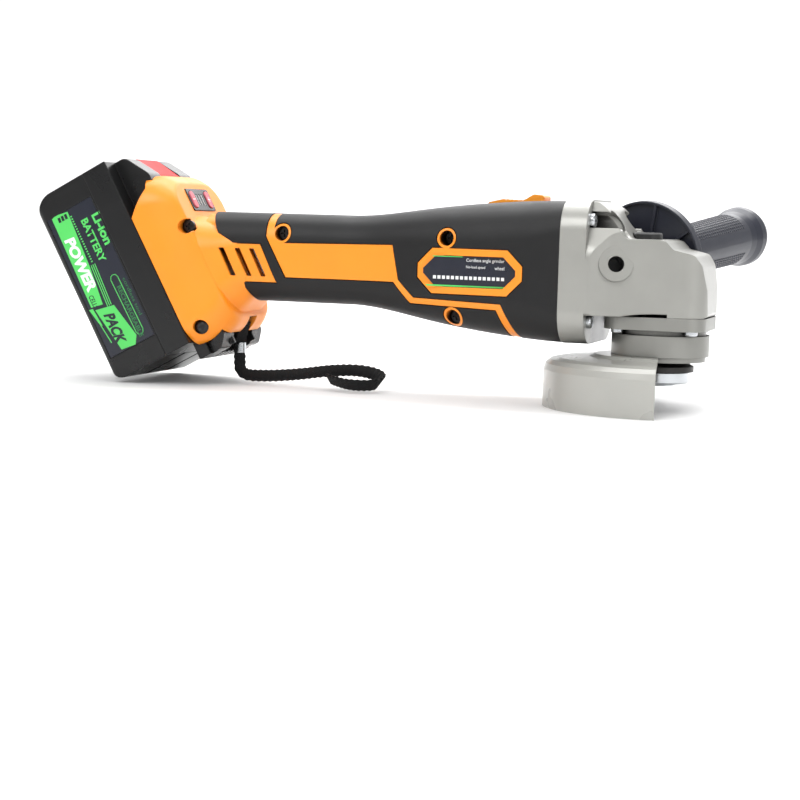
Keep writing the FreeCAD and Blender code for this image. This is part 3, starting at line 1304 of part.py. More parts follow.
def make_battery_board():
    top = max(x for x, z in cell_places()) + size("cell_r") + 0.3
    board = block(top, top + 1.4, -22.0, 22.0, 14.0, size("pack_length") - 16)
    sockets = [block(top + 1.0, top + 4.8, y - 2.0, y + 2.0, 16.0, 28.0) for y in BLADE_PLACES]
    feature("battery_board", board.multiFuse(sockets), pack_frame)


def make_battery_latch():
    top = size("pack_length")
    deep = size("rail_depth")
    half = size("latch_half")
    wedge = prism("XZ", [(deep - 9.0, top - 25, 1), (deep - 0.4, top - 25, 1.5), (deep - 0.4, top - 15.6, 2),
                         (deep - 8.6, top - 1.4, 2), (deep - 12.8, top - 1.4, 0.5),
                         (deep - 10.4, top - 14, 1)],
                  -half, half)
    scoop = Part.makeCylinder(9.0, 2 * half - 7, vec(deep + 3.0, -half + 3.5, top - 3.4), vec(0, 1, 0))
    feature("battery_latch", wedge.cut(scoop), pack_frame)
    coils = [Part.makeTorus(2.6, 0.4, vec(deep - 15.6 + 1.6 * k, 0, top - 20.5),
                            vec(1, 0, 0)) for k in range(4)]
    link = Part.makeCylinder(0.55, 4.8, vec(deep - 15.6, 0, top - 17.9), vec(1, 0, 0))
    feature("latch_spring", coils[0].multiFuse(coils[1:] + [link]), pack_frame)


def make_battery_labels():
    """The stickers on both sides of the pack."""
    for side, field in zip(("left", "right"), label_recesses(0)):
        feature("battery_label_" + side, field.common(block(-80, 20, -size("pack_half") + 0.1,
                                                            size("pack_half") - 0.1,
                                                            -20, 200)), pack_frame)


# --------------------------------------------------------------------------------------------
# side handle, drawn along its own axis from the boss face
# --------------------------------------------------------------------------------------------


def make_side_handle():
    long = size("handle_length")
    radius = size("handle_r")
    grip = turned_shape([
        (0, 10.4), (radius - 1.6, 10.4), (radius - 1.0, 16), (radius - 0.4, 60), (radius + 0.4, long - 20),
        (radius + 1.2, long - 15), (radius + 2.8, long - 10.6), (radius + 3.0, long - 6.4),
                         (radius + 1.2, long - 1.6),
        (radius - 3.5, long), (0, long)])
    flange_r = size("hand_guard_r")
    plate = Part.makeCylinder(flange_r, 2.2, vec(0, 0, 8.2))
    dish = Part.makeCylinder(flange_r, 3.0, vec(0, 0, 5.6))
    rim = dish.cut(Part.makeCylinder(flange_r - 1.2, 3.0, vec(0, 0, 5.6)))
    hub = Part.makeCylinder(8.0, 8.0, vec(0, 0, 0.5))
    ribs = []
    for k in range(8):
        rib = block(7, flange_r, -0.6, 0.6, 5.9, 8.6)
        rib.rotate(vec(0, 0, 0), vec(0, 0, 1), 45 * k + 10)
        ribs.append(rib.common(dish))
    handle = grip.multiFuse([plate, rim, hub] + ribs)
    handle = handle.cut(Part.makeCylinder(3.9, 26, vec(0, 0, -1)))
    frame = handle_frame(size("axis_height"))
    feature("side_handle", handle, frame)
    stud = Part.makeCylinder(3.88, 24.0, vec(0, 0, 0.2))
    stud = stud.fuse(Part.makeCylinder(size("handle_thread_r") - 0.06, 12.4, vec(0, 0, -12.0)))
    feature("handle_stud", stud, frame)


# --------------------------------------------------------------------------------------------
# wrist strap: a limp webbing loop, as a plain tube along straight runs and tangent arcs
# --------------------------------------------------------------------------------------------

# Route of the strap: (ahead of its bar, to the +Y side, above the standing surface). It hangs out
# of the foot, turns along the surface and comes back on itself in an open loop under the grip.
STRAP_ROUTE = ((-0.6, 1.5, 34.3), (-3.2, 1.5, 25.0), (-2.8, 1.0, 14.0), (-2.4, 0.8, 2.8), (13.1, 1.8, 2.7),
               (31.6, 4.2, 3.5), (48.6, 3.6, 7.5), (63.6, 9.0, 6.9), (77.1, 5.5, 3.5), (80.1, -6.0, 2.6),
               (68.6, -9.6, 2.6), (57.6, -5.8, 3.3), (48.1, -2.6, 4.3))


def strap_points():
    bar = pack_local.multVec(strap_bar_place())
    return [vec(bar.x + ahead, y, rise - size("floor_drop")) for ahead, y, rise in STRAP_ROUTE]


def make_strap():
    points = strap_points()
    corners = []
    for i, point in enumerate(points):
        radius = 0.0
        if 0 < i < len(points) - 1:
            before = point - points[i - 1]
            after = points[i + 1] - point
            half_turn = before.getAngle(after) / 2
            radius = 0.45 * min(before.Length, after.Length) / math.tan(half_turn)
            print("strap bend %2d: radius %.1f mm" % (i, radius))
        corners.append((point.x, point.y, point.z, radius))
    path = rounded_path(corners, closed=False)
    ring = Part.Wire(Part.Circle(points[0], points[1] - points[0], size("strap_d") / 2).toShape())
    tube = path.makePipeShell([ring], True, False)
    print("strap length %.1f mm, volume %.0f, section times length %.0f"
          % (path.Length, tube.Volume, path.Length * math.pi * (size("strap_d") / 2) ** 2))
    feature("wrist_strap", tube)
    way = (points[2] - points[1]).normalize()
    middle = (points[1] + points[2]) * 0.5
    crimp = rod(size("strap_d") / 2 + 1.0, middle - way * 2.8, middle + way * 2.8)
    crimp = crimp.cut(rod(size("strap_d") / 2 + size("slip"), middle - way * 6, middle + way * 6))
    feature("strap_crimp", crimp)


# --------------------------------------------------------------------------------------------
# build, check and write
# --------------------------------------------------------------------------------------------


def build():
    make_clamshell()
    make_grip_covers()
    make_rating_plates()
    make_housing_screws()
    make_gear_case()
    make_bearing_cover()
    make_case_screws()
    make_spindle()
    make_wheel_nut()
    make_gears()
    make_spindle_lock()
    make_guard()
    make_guard_clamp()
    make_motor()
    make_stator()
    make_fan()
    make_switch()
    make_control_board()
    make_terminal_block()
    make_panel()
    make_strap_bar()
    make_battery_case()
    make_battery_screws()
    make_cells()
    make_battery_board()
    make_battery_latch()
    make_battery_labels()
    make_side_handle()
    make_strap()


def check():
    """Stop if any object failed or any sub-part's shape is empty or broken."""
    doc.recompute()
    for obj in doc.Objects:
        if "Invalid" in obj.State or "Error" in obj.State:
            raise RuntimeError("%s failed: %s" % (obj.Label, obj.State))
    for obj in NODES:
        if obj.Shape.isNull() or not obj.Shape.isValid():
            raise RuntimeError("%s has no valid shape" % obj.Label)


def write():
    os.makedirs("parts", exist_ok=True)
    for obj in NODES:
        obj.Shape.exportStep("parts/%s.step" % obj.Label)
        print("%-22s solids %2d  volume %10.1f" % (obj.Label, len(obj.Shape.Solids), obj.Shape.Volume))


build()
check()
write()
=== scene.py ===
import math

import bmesh
import bpy
from mathutils import Matrix, Vector


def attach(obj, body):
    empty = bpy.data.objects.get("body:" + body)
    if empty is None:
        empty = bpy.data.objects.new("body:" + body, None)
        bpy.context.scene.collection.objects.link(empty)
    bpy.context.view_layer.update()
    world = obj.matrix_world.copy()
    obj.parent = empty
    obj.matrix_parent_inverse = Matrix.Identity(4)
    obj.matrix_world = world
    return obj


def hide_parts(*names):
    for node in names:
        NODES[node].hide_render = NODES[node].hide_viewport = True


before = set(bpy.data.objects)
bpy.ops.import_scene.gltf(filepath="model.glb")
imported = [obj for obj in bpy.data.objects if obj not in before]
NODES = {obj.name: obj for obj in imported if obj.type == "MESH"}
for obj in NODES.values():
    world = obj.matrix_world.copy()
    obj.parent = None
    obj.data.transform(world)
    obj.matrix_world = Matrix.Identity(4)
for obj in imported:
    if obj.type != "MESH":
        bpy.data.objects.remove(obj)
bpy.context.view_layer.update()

MM = 0.001

# Places that the pieces drawn here share with the CAD part, in metres in the row frame.
AXIS_HEIGHT = 50 * MM
FLOOR = -19.5 * MM
PACK_LEAN = math.radians(28.5)
PACK_CORNER = Vector((-246 * MM, 0, 4.07 * MM))
PACK_LENGTH = 108.5  # in millimetres, like all artwork on the pack
HANDLE_FORWARD = math.radians(18)
HANDLE_UP = math.radians(7)
BOSS = Vector((-18 * MM, 31 * MM, 54 * MM))


# --------------------------------------------------------------------------------------------
# materials
# --------------------------------------------------------------------------------------------


ORANGE = (0.95, 0.285, 0.012)
BLACK = (0.008, 0.008, 0.0085)
CAST_GREY = (0.33, 0.328, 0.305)
NAVY = (0.007, 0.009, 0.020)
GREEN = (0.09, 0.62, 0.12)
TAPE_DARK = (0.003, 0.003, 0.0035)
TAPE_LIGHT = (0.014, 0.014, 0.016)


def shader(name):
    """A new node material: (material, its nodes, its links, its principled shader)."""
    material = bpy.data.materials.new(name)
    material.use_nodes = True
    nodes = material.node_tree.nodes
    return material, nodes, material.node_tree.links, nodes["Principled BSDF"]


def noise(nodes, links, place, scale, detail=3.0, roughness=0.5):
    """Smooth noise with scale cycles a metre."""
    texture = nodes.new("ShaderNodeTexNoise")
    texture.inputs["Scale"].default_value = scale
    texture.inputs["Detail"].default_value = detail
    texture.inputs["Roughness"].default_value = roughness
    links.new(place, texture.inputs["Vector"])
    return texture.outputs["Fac"]


def spread(nodes, links, value, low, high, from_low=0.3, from_high=0.7):
    """value, which lies mostly between from_low and from_high, mapped to low..high."""
    mapped = nodes.new("ShaderNodeMapRange")
    mapped.inputs["From Min"].default_value = from_low
    mapped.inputs["From Max"].default_value = from_high
    mapped.inputs["To Min"].default_value = low
    mapped.inputs["To Max"].default_value = high
    links.new(value, mapped.inputs["Value"])
    return mapped.outputs["Result"]


def two_tone(nodes, links, value, first, second, from_low=0.3, from_high=0.7):
    """A colour that goes from first to second as value goes from from_low to from_high."""
    ramp = nodes.new("ShaderNodeValToRGB")
    ramp.color_ramp.elements[0].position = from_low
    ramp.color_ramp.elements[1].position = from_high
    ramp.color_ramp.elements[0].color = (*first, 1)
    ramp.color_ramp.elements[1].color = (*second, 1)
    links.new(value, ramp.inputs["Fac"])
    return ramp.outputs["Color"]


def shade(colour, factor):
    """colour made lighter or darker by a factor."""
    return tuple(min(1.0, part * factor) for part in colour)


def bumped(nodes, links, height, rise, strength=1.0, normal=None):
    """A surface normal that follows height, a value whose full step is rise millimetres high."""
    bump = nodes.new("ShaderNodeBump")
    bump.inputs["Distance"].default_value = rise * MM
    bump.inputs["Strength"].default_value = strength
    links.new(height, bump.inputs["Height"])
    if normal is not None:
        links.new(normal, bump.inputs["Normal"])
    return bump.outputs["Normal"]


def rounded_edges(nodes, radius):
    """A surface normal with edges softened over a radius in millimetres."""
    rounded = nodes.new("ShaderNodeBevel")
    rounded.samples = 4
    rounded.inputs["Radius"].default_value = radius * MM
    return rounded.outputs["Normal"]


def stretched(nodes, links, place, factors):
    """place scaled by a factor along each axis, which draws a noise out into brush marks."""
    stretch = nodes.new("ShaderNodeMapping")
    stretch.inputs["Scale"].default_value = factors
    links.new(place, stretch.inputs["Vector"])
    return stretch.outputs["Vector"]


def painted_hole_shade(nodes, links, tone, reach):
    """tone darkened by painted shade to nearly black in holes and creases narrower than reach, in
    millimetres.
    """
    open_sky = nodes.new("ShaderNodeAmbientOcclusion")
    open_sky.samples = 8
    open_sky.inputs["Distance"].default_value = reach * MM
    light = two_tone(nodes, links, open_sky.outputs["AO"], (0.02, 0.02, 0.02), (1, 1, 1), 0.24, 0.60)
    dim = nodes.new("ShaderNodeMix")
    dim.data_type = "RGBA"
    dim.blend_type = "MULTIPLY"
    dim.inputs["Factor"].default_value = 1.0
    links.new(tone, dim.inputs["A"])
    links.new(light, dim.inputs["B"])
    return dim.outputs["Result"]


# Noise scales that every surface shares, in cycles a metre.
MOTTLE_SCALE = 38.0
SMEAR_SCALE = 70.0
WAVE_SCALE = 90.0

# How far a surface's roughness strays, its lowest value, and the least height of waves in millimetres.
SMEAR = 0.03
SMOOTHEST = 0.03
SHALLOWEST_WAVE = 0.02


def surface(name, colour, roughness, metallic=0.0, mottle=0.06, grain=2400.0, depth=0.02, waves=0.0,
            edge=0.5, coat=0.0, shine=0.5, brushed=None, hole_shade_reach=0.0):
    """A moulded, cast or plated surface.

    It has a slow mottle in colour and gloss, a fine grain, slow waves in the surface and softened
    edges, and, where a reach is given, painted shade that darkens its colour in holes and creases
    narrower than that reach. grain is in cycles a metre; depth, waves, edge and the painted shade's
    reach are in millimetres.
    """
    material, nodes, links, base = shader(name)
    place = nodes.new("ShaderNodeTexCoord").outputs["Object"]
    fine_place = stretched(nodes, links, place, brushed) if brushed else place
    slow = noise(nodes, links, place, MOTTLE_SCALE, 4.0)
    fine = noise(nodes, links, fine_place, grain, 2.0)
    tone = two_tone(nodes, links, slow, shade(colour, 1 - mottle), shade(colour, 1 + mottle))
    # Painted shade: an ambient occlusion mask darkens the colour in holes and creases.
    if hole_shade_reach:
        tone = painted_hole_shade(nodes, links, tone, hole_shade_reach)
    links.new(tone, base.inputs["Base Color"])
    smear = noise(nodes, links, place, SMEAR_SCALE, 2.0)
    links.new(spread(nodes, links, smear, max(SMOOTHEST, roughness - SMEAR), roughness + SMEAR),
              base.inputs["Roughness"])
    base.inputs["Metallic"].default_value = metallic
    base.inputs["Specular IOR Level"].default_value = shine
    base.inputs["Coat Weight"].default_value = coat
    base.inputs["Coat Roughness"].default_value = 0.15
    wave = noise(nodes, links, place, WAVE_SCALE, 2.0)
    wavy = bumped(nodes, links, wave, max(waves, SHALLOWEST_WAVE), 0.5, rounded_edges(nodes, edge))
    links.new(bumped(nodes, links, fine, depth, 0.6, wavy), base.inputs["Normal"])
    return material


def webbing_material():
    """Woven black tape: two crossed sets of ribs over a fibrous ground."""
    material, nodes, links, base = shader("woven_tape")
    place = nodes.new("ShaderNodeTexCoord").outputs["UV"]
    ribs = []
    for direction, scale in (("X", 46.0), ("Y", 5.0)):
        wave = nodes.new("ShaderNodeTexWave")
        wave.bands_direction = direction
        wave.inputs["Scale"].default_value = scale
        wave.inputs["Distortion"].default_value = 0.6
        wave.inputs["Detail"].default_value = 1.0
        links.new(place, wave.inputs["Vector"])
        ribs.append(wave.outputs["Fac"])
    woven = nodes.new("ShaderNodeMath")
    woven.operation = "MULTIPLY"
    links.new(ribs[0], woven.inputs[0])
    links.new(ribs[1], woven.inputs[1])
    tone = two_tone(nodes, links, woven.outputs["Value"], TAPE_DARK, TAPE_LIGHT, 0.0, 0.8)
    links.new(tone, base.inputs["Base Color"])
    fibre = noise(nodes, links, nodes.new("ShaderNodeTexCoord").outputs["Object"], 3000.0)
    links.new(spread(nodes, links, fibre, 0.75, 0.95), base.inputs["Roughness"])
    base.inputs["Sheen Weight"].default_value = 0.06
    base.inputs["Specular IOR Level"].default_value = 0.2
    links.new(bumped(nodes, links, woven.outputs["Value"], 0.3), base.inputs["Normal"])
    return material


# The orange nylon, the cast head and the cast collar get painted shade in their holes and creases.
MATERIALS = {
    "orange": surface("orange_nylon", ORANGE, 0.38, mottle=0.03, grain=2600, depth=0.018, edge=0.8,
                      hole_shade_reach=9.0),
    "orange_bright": surface("orange_slider", (0.96, 0.33, 0.015), 0.34, mottle=0.03, edge=0.6),
    "rubber": surface("black_grip_rubber", BLACK, 0.50, mottle=0.10, grain=3200, depth=0.03, edge=0.5,
                      shine=0.32),
    "handle": surface("black_handle_nylon", (0.024, 0.026, 0.038), 0.36, mottle=0.08, grain=3000,
                      depth=0.03, edge=0.8),
    "pack": surface("black_pack_nylon", shade(BLACK, 0.8), 0.29, mottle=0.08, grain=2800, depth=0.015,
                    edge=1.0, shine=0.4),
    "gloss_black": surface("gloss_black", (0.010, 0.010, 0.012), 0.22, mottle=0.05, edge=0.5),
    "head": surface("cast_head_paint", CAST_GREY, 0.33, metallic=0.25, mottle=0.05, grain=1500,
                    depth=0.02, waves=0.08, edge=0.9, coat=0.25, hole_shade_reach=15.0),
    "collar": surface("cast_collar", shade(CAST_GREY, 0.80), 0.38, metallic=0.45, mottle=0.06,
                      grain=1500, depth=0.02, waves=0.06, edge=0.7, hole_shade_reach=8.0),
    "guard": surface("guard_powder_coat", shade(CAST_GREY, 1.18), 0.30, metallic=0.1, mottle=0.03,
                     grain=700, depth=0.004, waves=0.0, edge=0.3, coat=0.3),
    "zinc": surface("zinc_plate", (0.56, 0.58, 0.60), 0.25, metallic=1.0, mottle=0.10, grain=900,
                    depth=0.02, edge=0.3),
    "steel": surface("turned_steel", (0.48, 0.48, 0.48), 0.24, metallic=1.0, mottle=0.08, edge=0.2,
                     depth=0.01, brushed=(1, 1, 12)),
    "dark_steel": surface("blackened_steel", (0.030, 0.029, 0.028), 0.36, metallic=0.7, mottle=0.15,
                          edge=0.4),
    "bronze": surface("sintered_bronze", (0.42, 0.26, 0.12), 0.45, metallic=1.0, mottle=0.1),
    "felt": surface("grey_felt", (0.20, 0.19, 0.17), 0.95, mottle=0.2, grain=1800, depth=0.2),
    "iron": surface("laminated_iron", (0.16, 0.14, 0.12), 0.45, metallic=0.8, mottle=0.2,
                    brushed=(14, 1, 1)),
    "dark_plastic": surface("dark_plastic", (0.014, 0.014, 0.015), 0.42, mottle=0.1),
    "navy": surface("navy_film", NAVY, 0.30, mottle=0.04, grain=4000, depth=0.004, edge=0.2, coat=0.1),
    "green": surface("green_print", GREEN, 0.34, mottle=0.03, grain=4000, depth=0.004, edge=0.05),
    "dim_green": surface("dark_green_print", (0.02, 0.17, 0.05), 0.34, mottle=0.03, grain=4000,
                         depth=0.004, edge=0.05),
    "white": surface("white_print", (0.80, 0.82, 0.82), 0.36, mottle=0.03, grain=4000, depth=0.004,
                     edge=0.05),
    "pink": surface("silicone_button", (0.62, 0.13, 0.17), 0.42, mottle=0.05, edge=0.4),
    "red": surface("red_latch", (0.74, 0.022, 0.022), 0.55, mottle=0.04, edge=0.7, shine=0.2),
    "board": surface("circuit_board", (0.015, 0.11, 0.05), 0.35, mottle=0.1),
    "cells": surface("cell_sleeve", (0.08, 0.20, 0.35), 0.32, mottle=0.05, edge=0.3),
    "webbing": webbing_material(),
}

NODE_MATERIALS = {
    "orange": ("body_shell_left", "body_shell_right"),
    "orange_bright": ("switch_slider",),
    "rubber": ("grip_cover_left", "grip_cover_right"),
    "handle": ("side_handle",),
    "pack": ("battery_case_outer", "battery_case_inner"),
    "gloss_black": ("speed_panel",),
    "dark_plastic": ("lock_button", "motor_fan", "air_baffle", "micro_switch", "terminal_block",
                     "cell_holder_left", "cell_holder_right"),
    "head": ("gear_case",),
    "collar": ("bearing_cover", "guard_clamp"),
    "guard": ("wheel_guard",),
    "zinc": ("wheel_nut", "clamp_screw", "clamp_nut", "cover_screws", "flange_screws", "strap_crimp",
             "strap_bar", "handle_stud", "lock_spring", "latch_spring", "retaining_ring"),
    "steel": ("spindle", "spindle_bearing", "front_bearing", "rear_bearing", "motor_shaft",
              "drive_pinion", "bevel_gear"),
    "dark_steel": ("inner_flange", "housing_screws", "battery_screws"),
    "bronze": ("top_bush",),
    "felt": ("felt_seal",),
    "iron": ("rotor_magnet", "motor_stator"),
    "navy": ("battery_label_left", "battery_label_right", "rating_plate_left", "rating_plate_right"),
    "pink": ("speed_button_up", "speed_button_down"),
    "red": ("battery_latch",),
    "board": ("control_board", "battery_board"),
    "cells": ("battery_cells",),
}


def paint_nodes():
    """Give every CAD node its material, except the strap, which a tape stands for."""
    for key, names in NODE_MATERIALS.items():
        for name in names:
            obj = NODES[name]
            obj.data.materials.clear()
            obj.data.materials.append(MATERIALS[key])


# --------------------------------------------------------------------------------------------
# building blocks
# --------------------------------------------------------------------------------------------


def new_piece(name, mesh, material, body):
    """A piece of the given mesh that moves with a CAD body and takes its finish from a slot."""
    obj = bpy.data.objects.new(name, mesh)
    bpy.context.scene.collection.objects.link(obj)
    mesh.materials.append(MATERIALS[material])
    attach(obj, body)
    return obj


def finished_mesh(name, shape):
    """The faces of a bmesh, turned outwards, as a mesh."""
    bmesh.ops.recalc_face_normals(shape, faces=shape.faces)
    mesh = bpy.data.meshes.new(name)
    shape.to_mesh(mesh)
    shape.free()
    return mesh


def plate_mesh(name, outlines, to_row, thickness):
    """Flat plates in one mesh.

    Each outline holds (across, up) corners in millimetres, and to_row puts a point (across, up, out)
    into the row frame.
    """
    shape = bmesh.new()
    for outline in outlines:
        rings = []
        for out in (0.0, thickness):
            rings.append([shape.verts.new(to_row(across, up, out)) for across, up in outline])
        count = len(outline)
        shape.faces.new(rings[1])
        shape.faces.new(list(reversed(rings[0])))
        for i in range(count):
            j = (i + 1) % count
            shape.faces.new((rings[0][i], rings[0][j], rings[1][j], rings[1][i]))
    return finished_mesh(name, shape)


def pack_point(x, y, z):
    """A point of the battery pack, in millimetres along its own axes, in the row frame."""
    cos, sin = math.cos(PACK_LEAN), math.sin(PACK_LEAN)
    return PACK_CORNER + Vector((x * cos - z * sin, y, x * sin + z * cos)) * MM


def on_pack_side(side, level):
    """Places artwork on the pack's side: across is the pack's x, up its z.

    The left side's label is turned round, so that up runs down the pack there.
    """
    if side < 0:
        return lambda across, up, out: pack_point(across, side * (level + out), up)
    return lambda across, up, out: pack_point(across, side * (level + out), PACK_LENGTH - up)


def on_body_side(side, level):
    """Places artwork on the motor housing's side: across is X, up is above the motor axis."""
    return lambda across, up, out: Vector((across * MM, side * (level + out) * MM,
                                           AXIS_HEIGHT + up * MM))


def down_pack_side(side):
    """Places text along the pack's side: along runs from the banner's head to its foot."""
    place = on_pack_side(side, LABEL_LEVEL)
    return lambda along, up, out: place(up, LABEL_HEAD - along, out)


def along_body_side(side):
    """Places text that reads level along the motor housing's side."""
    return lambda along, up, out: Vector((-side * along * MM, side * (RATING_LEVEL + out) * MM,
                                          AXIS_HEIGHT + up * MM))


def on_panel(face):
    """Places artwork on the speed panel: across is Y, up runs along the slide."""
    return lambda across, up, out: pack_point(face + out, across, up)


def band(points, width):
    """Quads that follow a line of points with a given width."""
    quads = []
    for (x0, y0), (x1, y1) in zip(points, points[1:]):
        along = Vector((x1 - x0, y1 - y0)).normalized()
        off = Vector((-along.y, along.x)) * width / 2
        tail = along * width / 2
        quads.append([(x0 - off.x - tail.x, y0 - off.y - tail.y),
                      (x1 - off.x + tail.x, y1 - off.y + tail.y),
                      (x1 + off.x + tail.x, y1 + off.y + tail.y),
                      (x0 + off.x - tail.x, y0 + off.y - tail.y)])
    return quads


# --------------------------------------------------------------------------------------------
# printed artwork
# --------------------------------------------------------------------------------------------

# The thickness of print, in millimetres like all that follows.
PRINT = 0.05

# The faces that carry print on both sides, measured from the middle plane, and the height of the
# banner's head up the pack.
LABEL_LEVEL = 36.9
RATING_LEVEL = 31.4
LABEL_HEAD = 96.0

# The faces of the speed panel and its buttons, measured ahead of the pack's mating face.
PANEL_FACE = 26.12
BUTTON_FACE = 27.02


def lettering(name, words, to_row, body):
    """Plain words as thin print.

    words holds (text, start, base, length, height, slant, boldness, material key); to_row puts a point
    (along the text, up, out) into the row frame.
    """
    for number, (text, start, base, length, height, slant, bold, material) in enumerate(words):
        curve = bpy.data.curves.new("text", "FONT")
        curve.body = text
        curve.resolution_u = 3
        curve.offset = bold
        holder = bpy.data.objects.new("text", curve)
        bpy.context.scene.collection.objects.link(holder)
        bpy.context.view_layer.update()
        mesh = bpy.data.meshes.new_from_object(holder)
        bpy.data.objects.remove(holder)
        left = min(vertex.co.x for vertex in mesh.vertices)
        right = max(vertex.co.x for vertex in mesh.vertices)
        low = min(vertex.co.y for vertex in mesh.vertices)
        high = max(vertex.co.y for vertex in mesh.vertices)
        for vertex in mesh.vertices:
            up = (vertex.co.y - low) / (high - low) * height
            along = (vertex.co.x - left) / (right - left) * length + slant * up
            vertex.co = to_row(start + along, base + up, PRINT)
        new_piece("%s_%d" % (name, number + 1), mesh, material, body)


BATTERY_WORDS = (
    ("Li-ion", 9.6, -20.4, 18.2, 5.4, 0.0, 0.035, "green"),
    ("BATTERY", 9.4, -27.4, 25.4, 4.4, 0.0, 0.03, "green"),
    ("POWER", 14.4, -41.6, 31.5, 6.6, 0.12, 0.05, "white"),
    ("CELLS", 47.6, -42.4, 7.6, 3.0, 0.12, 0.02, "navy"),
    ("PACK", 60.4, -39.0, 17.4, 6.6, 0.3, 0.05, "navy"),
    ("RECHARGEABLE", 50.6, -24.6, 30.0, 2.6, 0.0, 0.02, "dim_green"),
    ("cordless tool", 48.0, -19.4, 22.0, 1.9, 0.0, 0.0, "dim_green"))


def banner_outlines():
    """The label's green shapes: the banner, its foot, and the bent arrow beside them."""
    return [
        [(-42.6, 95.2), (-39.8, 96.0), (-32.2, 94.6), (-34.0, 62.0), (-36.4, 40.8), (-43.6, 42.2)],
        [(-42.0, 39.9), (-30.6, 37.6), (-25.9, 17.4), (-28.8, 13.0), (-37.6, 14.2)],
        [(-45.4, 41.6), (-43.0, 41.2), (-41.9, 30.4), (-43.2, 32.0)],
        [(-43.2, 32.0), (-42.6, 31.6), (-41.0, 20.0), (-41.6, 20.0)]]


def rule_outlines():
    """Three thin slanted lines beside the banner."""
    head, foot, width, step = -33.2, -34.5, 0.5, 1.2
    return [[(head + step * k, 62.5), (head + width + step * k, 62.5),
             (foot + width + step * k, 38.5), (foot + step * k, 38.5)] for k in range(3)]


def capsule_outlines():
    """A long rounded frame round the lower words."""
    line = [(-26.0, 50.2), (-25.2, 51.8), (-23.7, 52.3), (-22.2, 51.8), (-21.4, 50.2), (-20.9, 18.8),
            (-21.6, 17.2), (-23.1, 16.6), (-24.6, 17.2), (-25.4, 18.8), (-26.0, 50.2)]
    return band(line, 0.45)


def tooth_outlines():
    """A row of small square marks down the label."""
    left, right, top, height, step = -32.0, -31.0, 91.6, 0.7, 1.5
    return [[(left, top - step * k), (right, top - step * k), (right, top - height - step * k),
             (left, top - height - step * k)] for k in range(19)]


def notch_outlines():
    """Three dark slots at the banner's head."""
    step = 2.2
    return [[(-39.4 + step * k, 94.2), (-37.8 + step * k, 94.0), (-38.0 + step * k, 91.2),
             (-39.6 + step * k, 91.4)] for k in range(3)]


def battery_artwork():
    """The printed graphics on both sides of the battery pack: plain words, bars and frames."""
    green = banner_outlines() + rule_outlines() + capsule_outlines() + tooth_outlines()
    for side, word in ((1, "left"), (-1, "right")):
        for kind, shapes, material, level in (("banner", green, "green", 0.0),
                                              ("notches", notch_outlines(), "navy", PRINT)):
            name = "battery_%s_%s" % (kind, word)
            mesh = plate_mesh(name, shapes, on_pack_side(side, LABEL_LEVEL + level), PRINT / 2)
            new_piece(name, mesh, material, "battery")
        lettering("battery_words_" + word, BATTERY_WORDS, down_pack_side(side), "battery")


def rating_bars():
    """A row of sixteen small bars on the rating plate, as in a line of blocked-out print."""
    step, width, low, high = 2.4, 1.6, -6.6, -4.9
    bars = []
    for k in range(16):
        start = -112.5 + step * k
        bars.append([(start, low), (start + width, low), (start + width, high), (start, high)])
    return bars


def rating_words(start):
    """The rating plate's lines of print, which begin at start."""
    return (("Cordless angle grinder", start, 2.0, 20.0, 2.2, 0.0, 0.0, "white"),
            ("No-load speed", start, -1.2, 10.0, 1.8, 0.0, 0.0, "white"),
            ("wheel", start + 15.0, -1.2, 5.0, 1.8, 0.0, 0.0, "white"))


def rating_artwork():
    """Green rules and a few lines of plain print on each rating plate."""
    rules = [[(-115.6, -10.4), (-71.4, -10.4), (-70.4, -9.6), (-116.6, -9.6)],
             [(-113.0, 4.7), (-97.0, 4.7), (-97.0, 5.1), (-113.0, 5.1)]]
    for side, word, start in ((1, "left", 73.0), (-1, "right", -95.0)):
        for kind, shapes, material in (("rule", rules, "green"), ("bars", rating_bars(), "white")):
            name = "rating_%s_%s" % (kind, word)
            mesh = plate_mesh(name, shapes, on_body_side(side, RATING_LEVEL), PRINT)
            new_piece(name, mesh, material, "tool")
        lettering("rating_words_" + word, rating_words(start), along_body_side(side), "tool")


def panel_artwork():
    """Three white bars on the speed panel and a sign on each of its buttons."""
    half_width, low, high, step = 0.5, 69.4, 75.6, 3.4
    bars = []
    for k in (-1, 0, 1):
        left = step * k - half_width
        right = step * k + half_width
        bars.append([(left, low), (right, low), (right, high), (left, high)])
    mesh = plate_mesh("panel_bars", bars, on_panel(PANEL_FACE), PRINT)
    new_piece("panel_bars", mesh, "white", "tool")
    reach, height, stroke, middle = 1.2, 72.5, 0.5, 9.6
    for side, name in ((1, "up"), (-1, "down")):
        y = side * middle
        marks = band([(y - reach, height), (y + reach, height)], stroke)
        if side > 0:
            marks += band([(y, height - reach), (y, height + reach)], stroke)
        mesh = plate_mesh("speed_mark_" + name, marks, on_panel(BUTTON_FACE), PRINT)
        new_piece("speed_mark_" + name, mesh, "white", "speed_" + name)


# --------------------------------------------------------------------------------------------
# side handle tread
# --------------------------------------------------------------------------------------------


# The tread's rows run round the grip, on two opposite panels. Lengths are in millimetres.
TREAD_START = 22.0
TREAD_ROWS = 34
TREAD_PITCH = 2.3
TREAD_COLUMNS = 17
TREAD_TURN = math.radians(7.4)
PAD_HALF_TURN = math.radians(2.7)
PAD_HALF_LENGTH = 0.85
PAD_RISE = 0.35
PAD_SINK = 0.15
PAD_TAPER = 0.6


def handle_point(angle, radius, along):
    """A point round the side handle's own axis, in millimetres, in the row frame."""
    out = Vector((math.sin(HANDLE_FORWARD) * math.cos(HANDLE_UP),
                  math.cos(HANDLE_FORWARD) * math.cos(HANDLE_UP),
                  math.sin(HANDLE_UP)))
    side = out.cross(Vector((0, 0, 1))).normalized()
    up = side.cross(out)
    return BOSS + (out * along + side * math.cos(angle) * radius + up * math.sin(angle) * radius) * MM


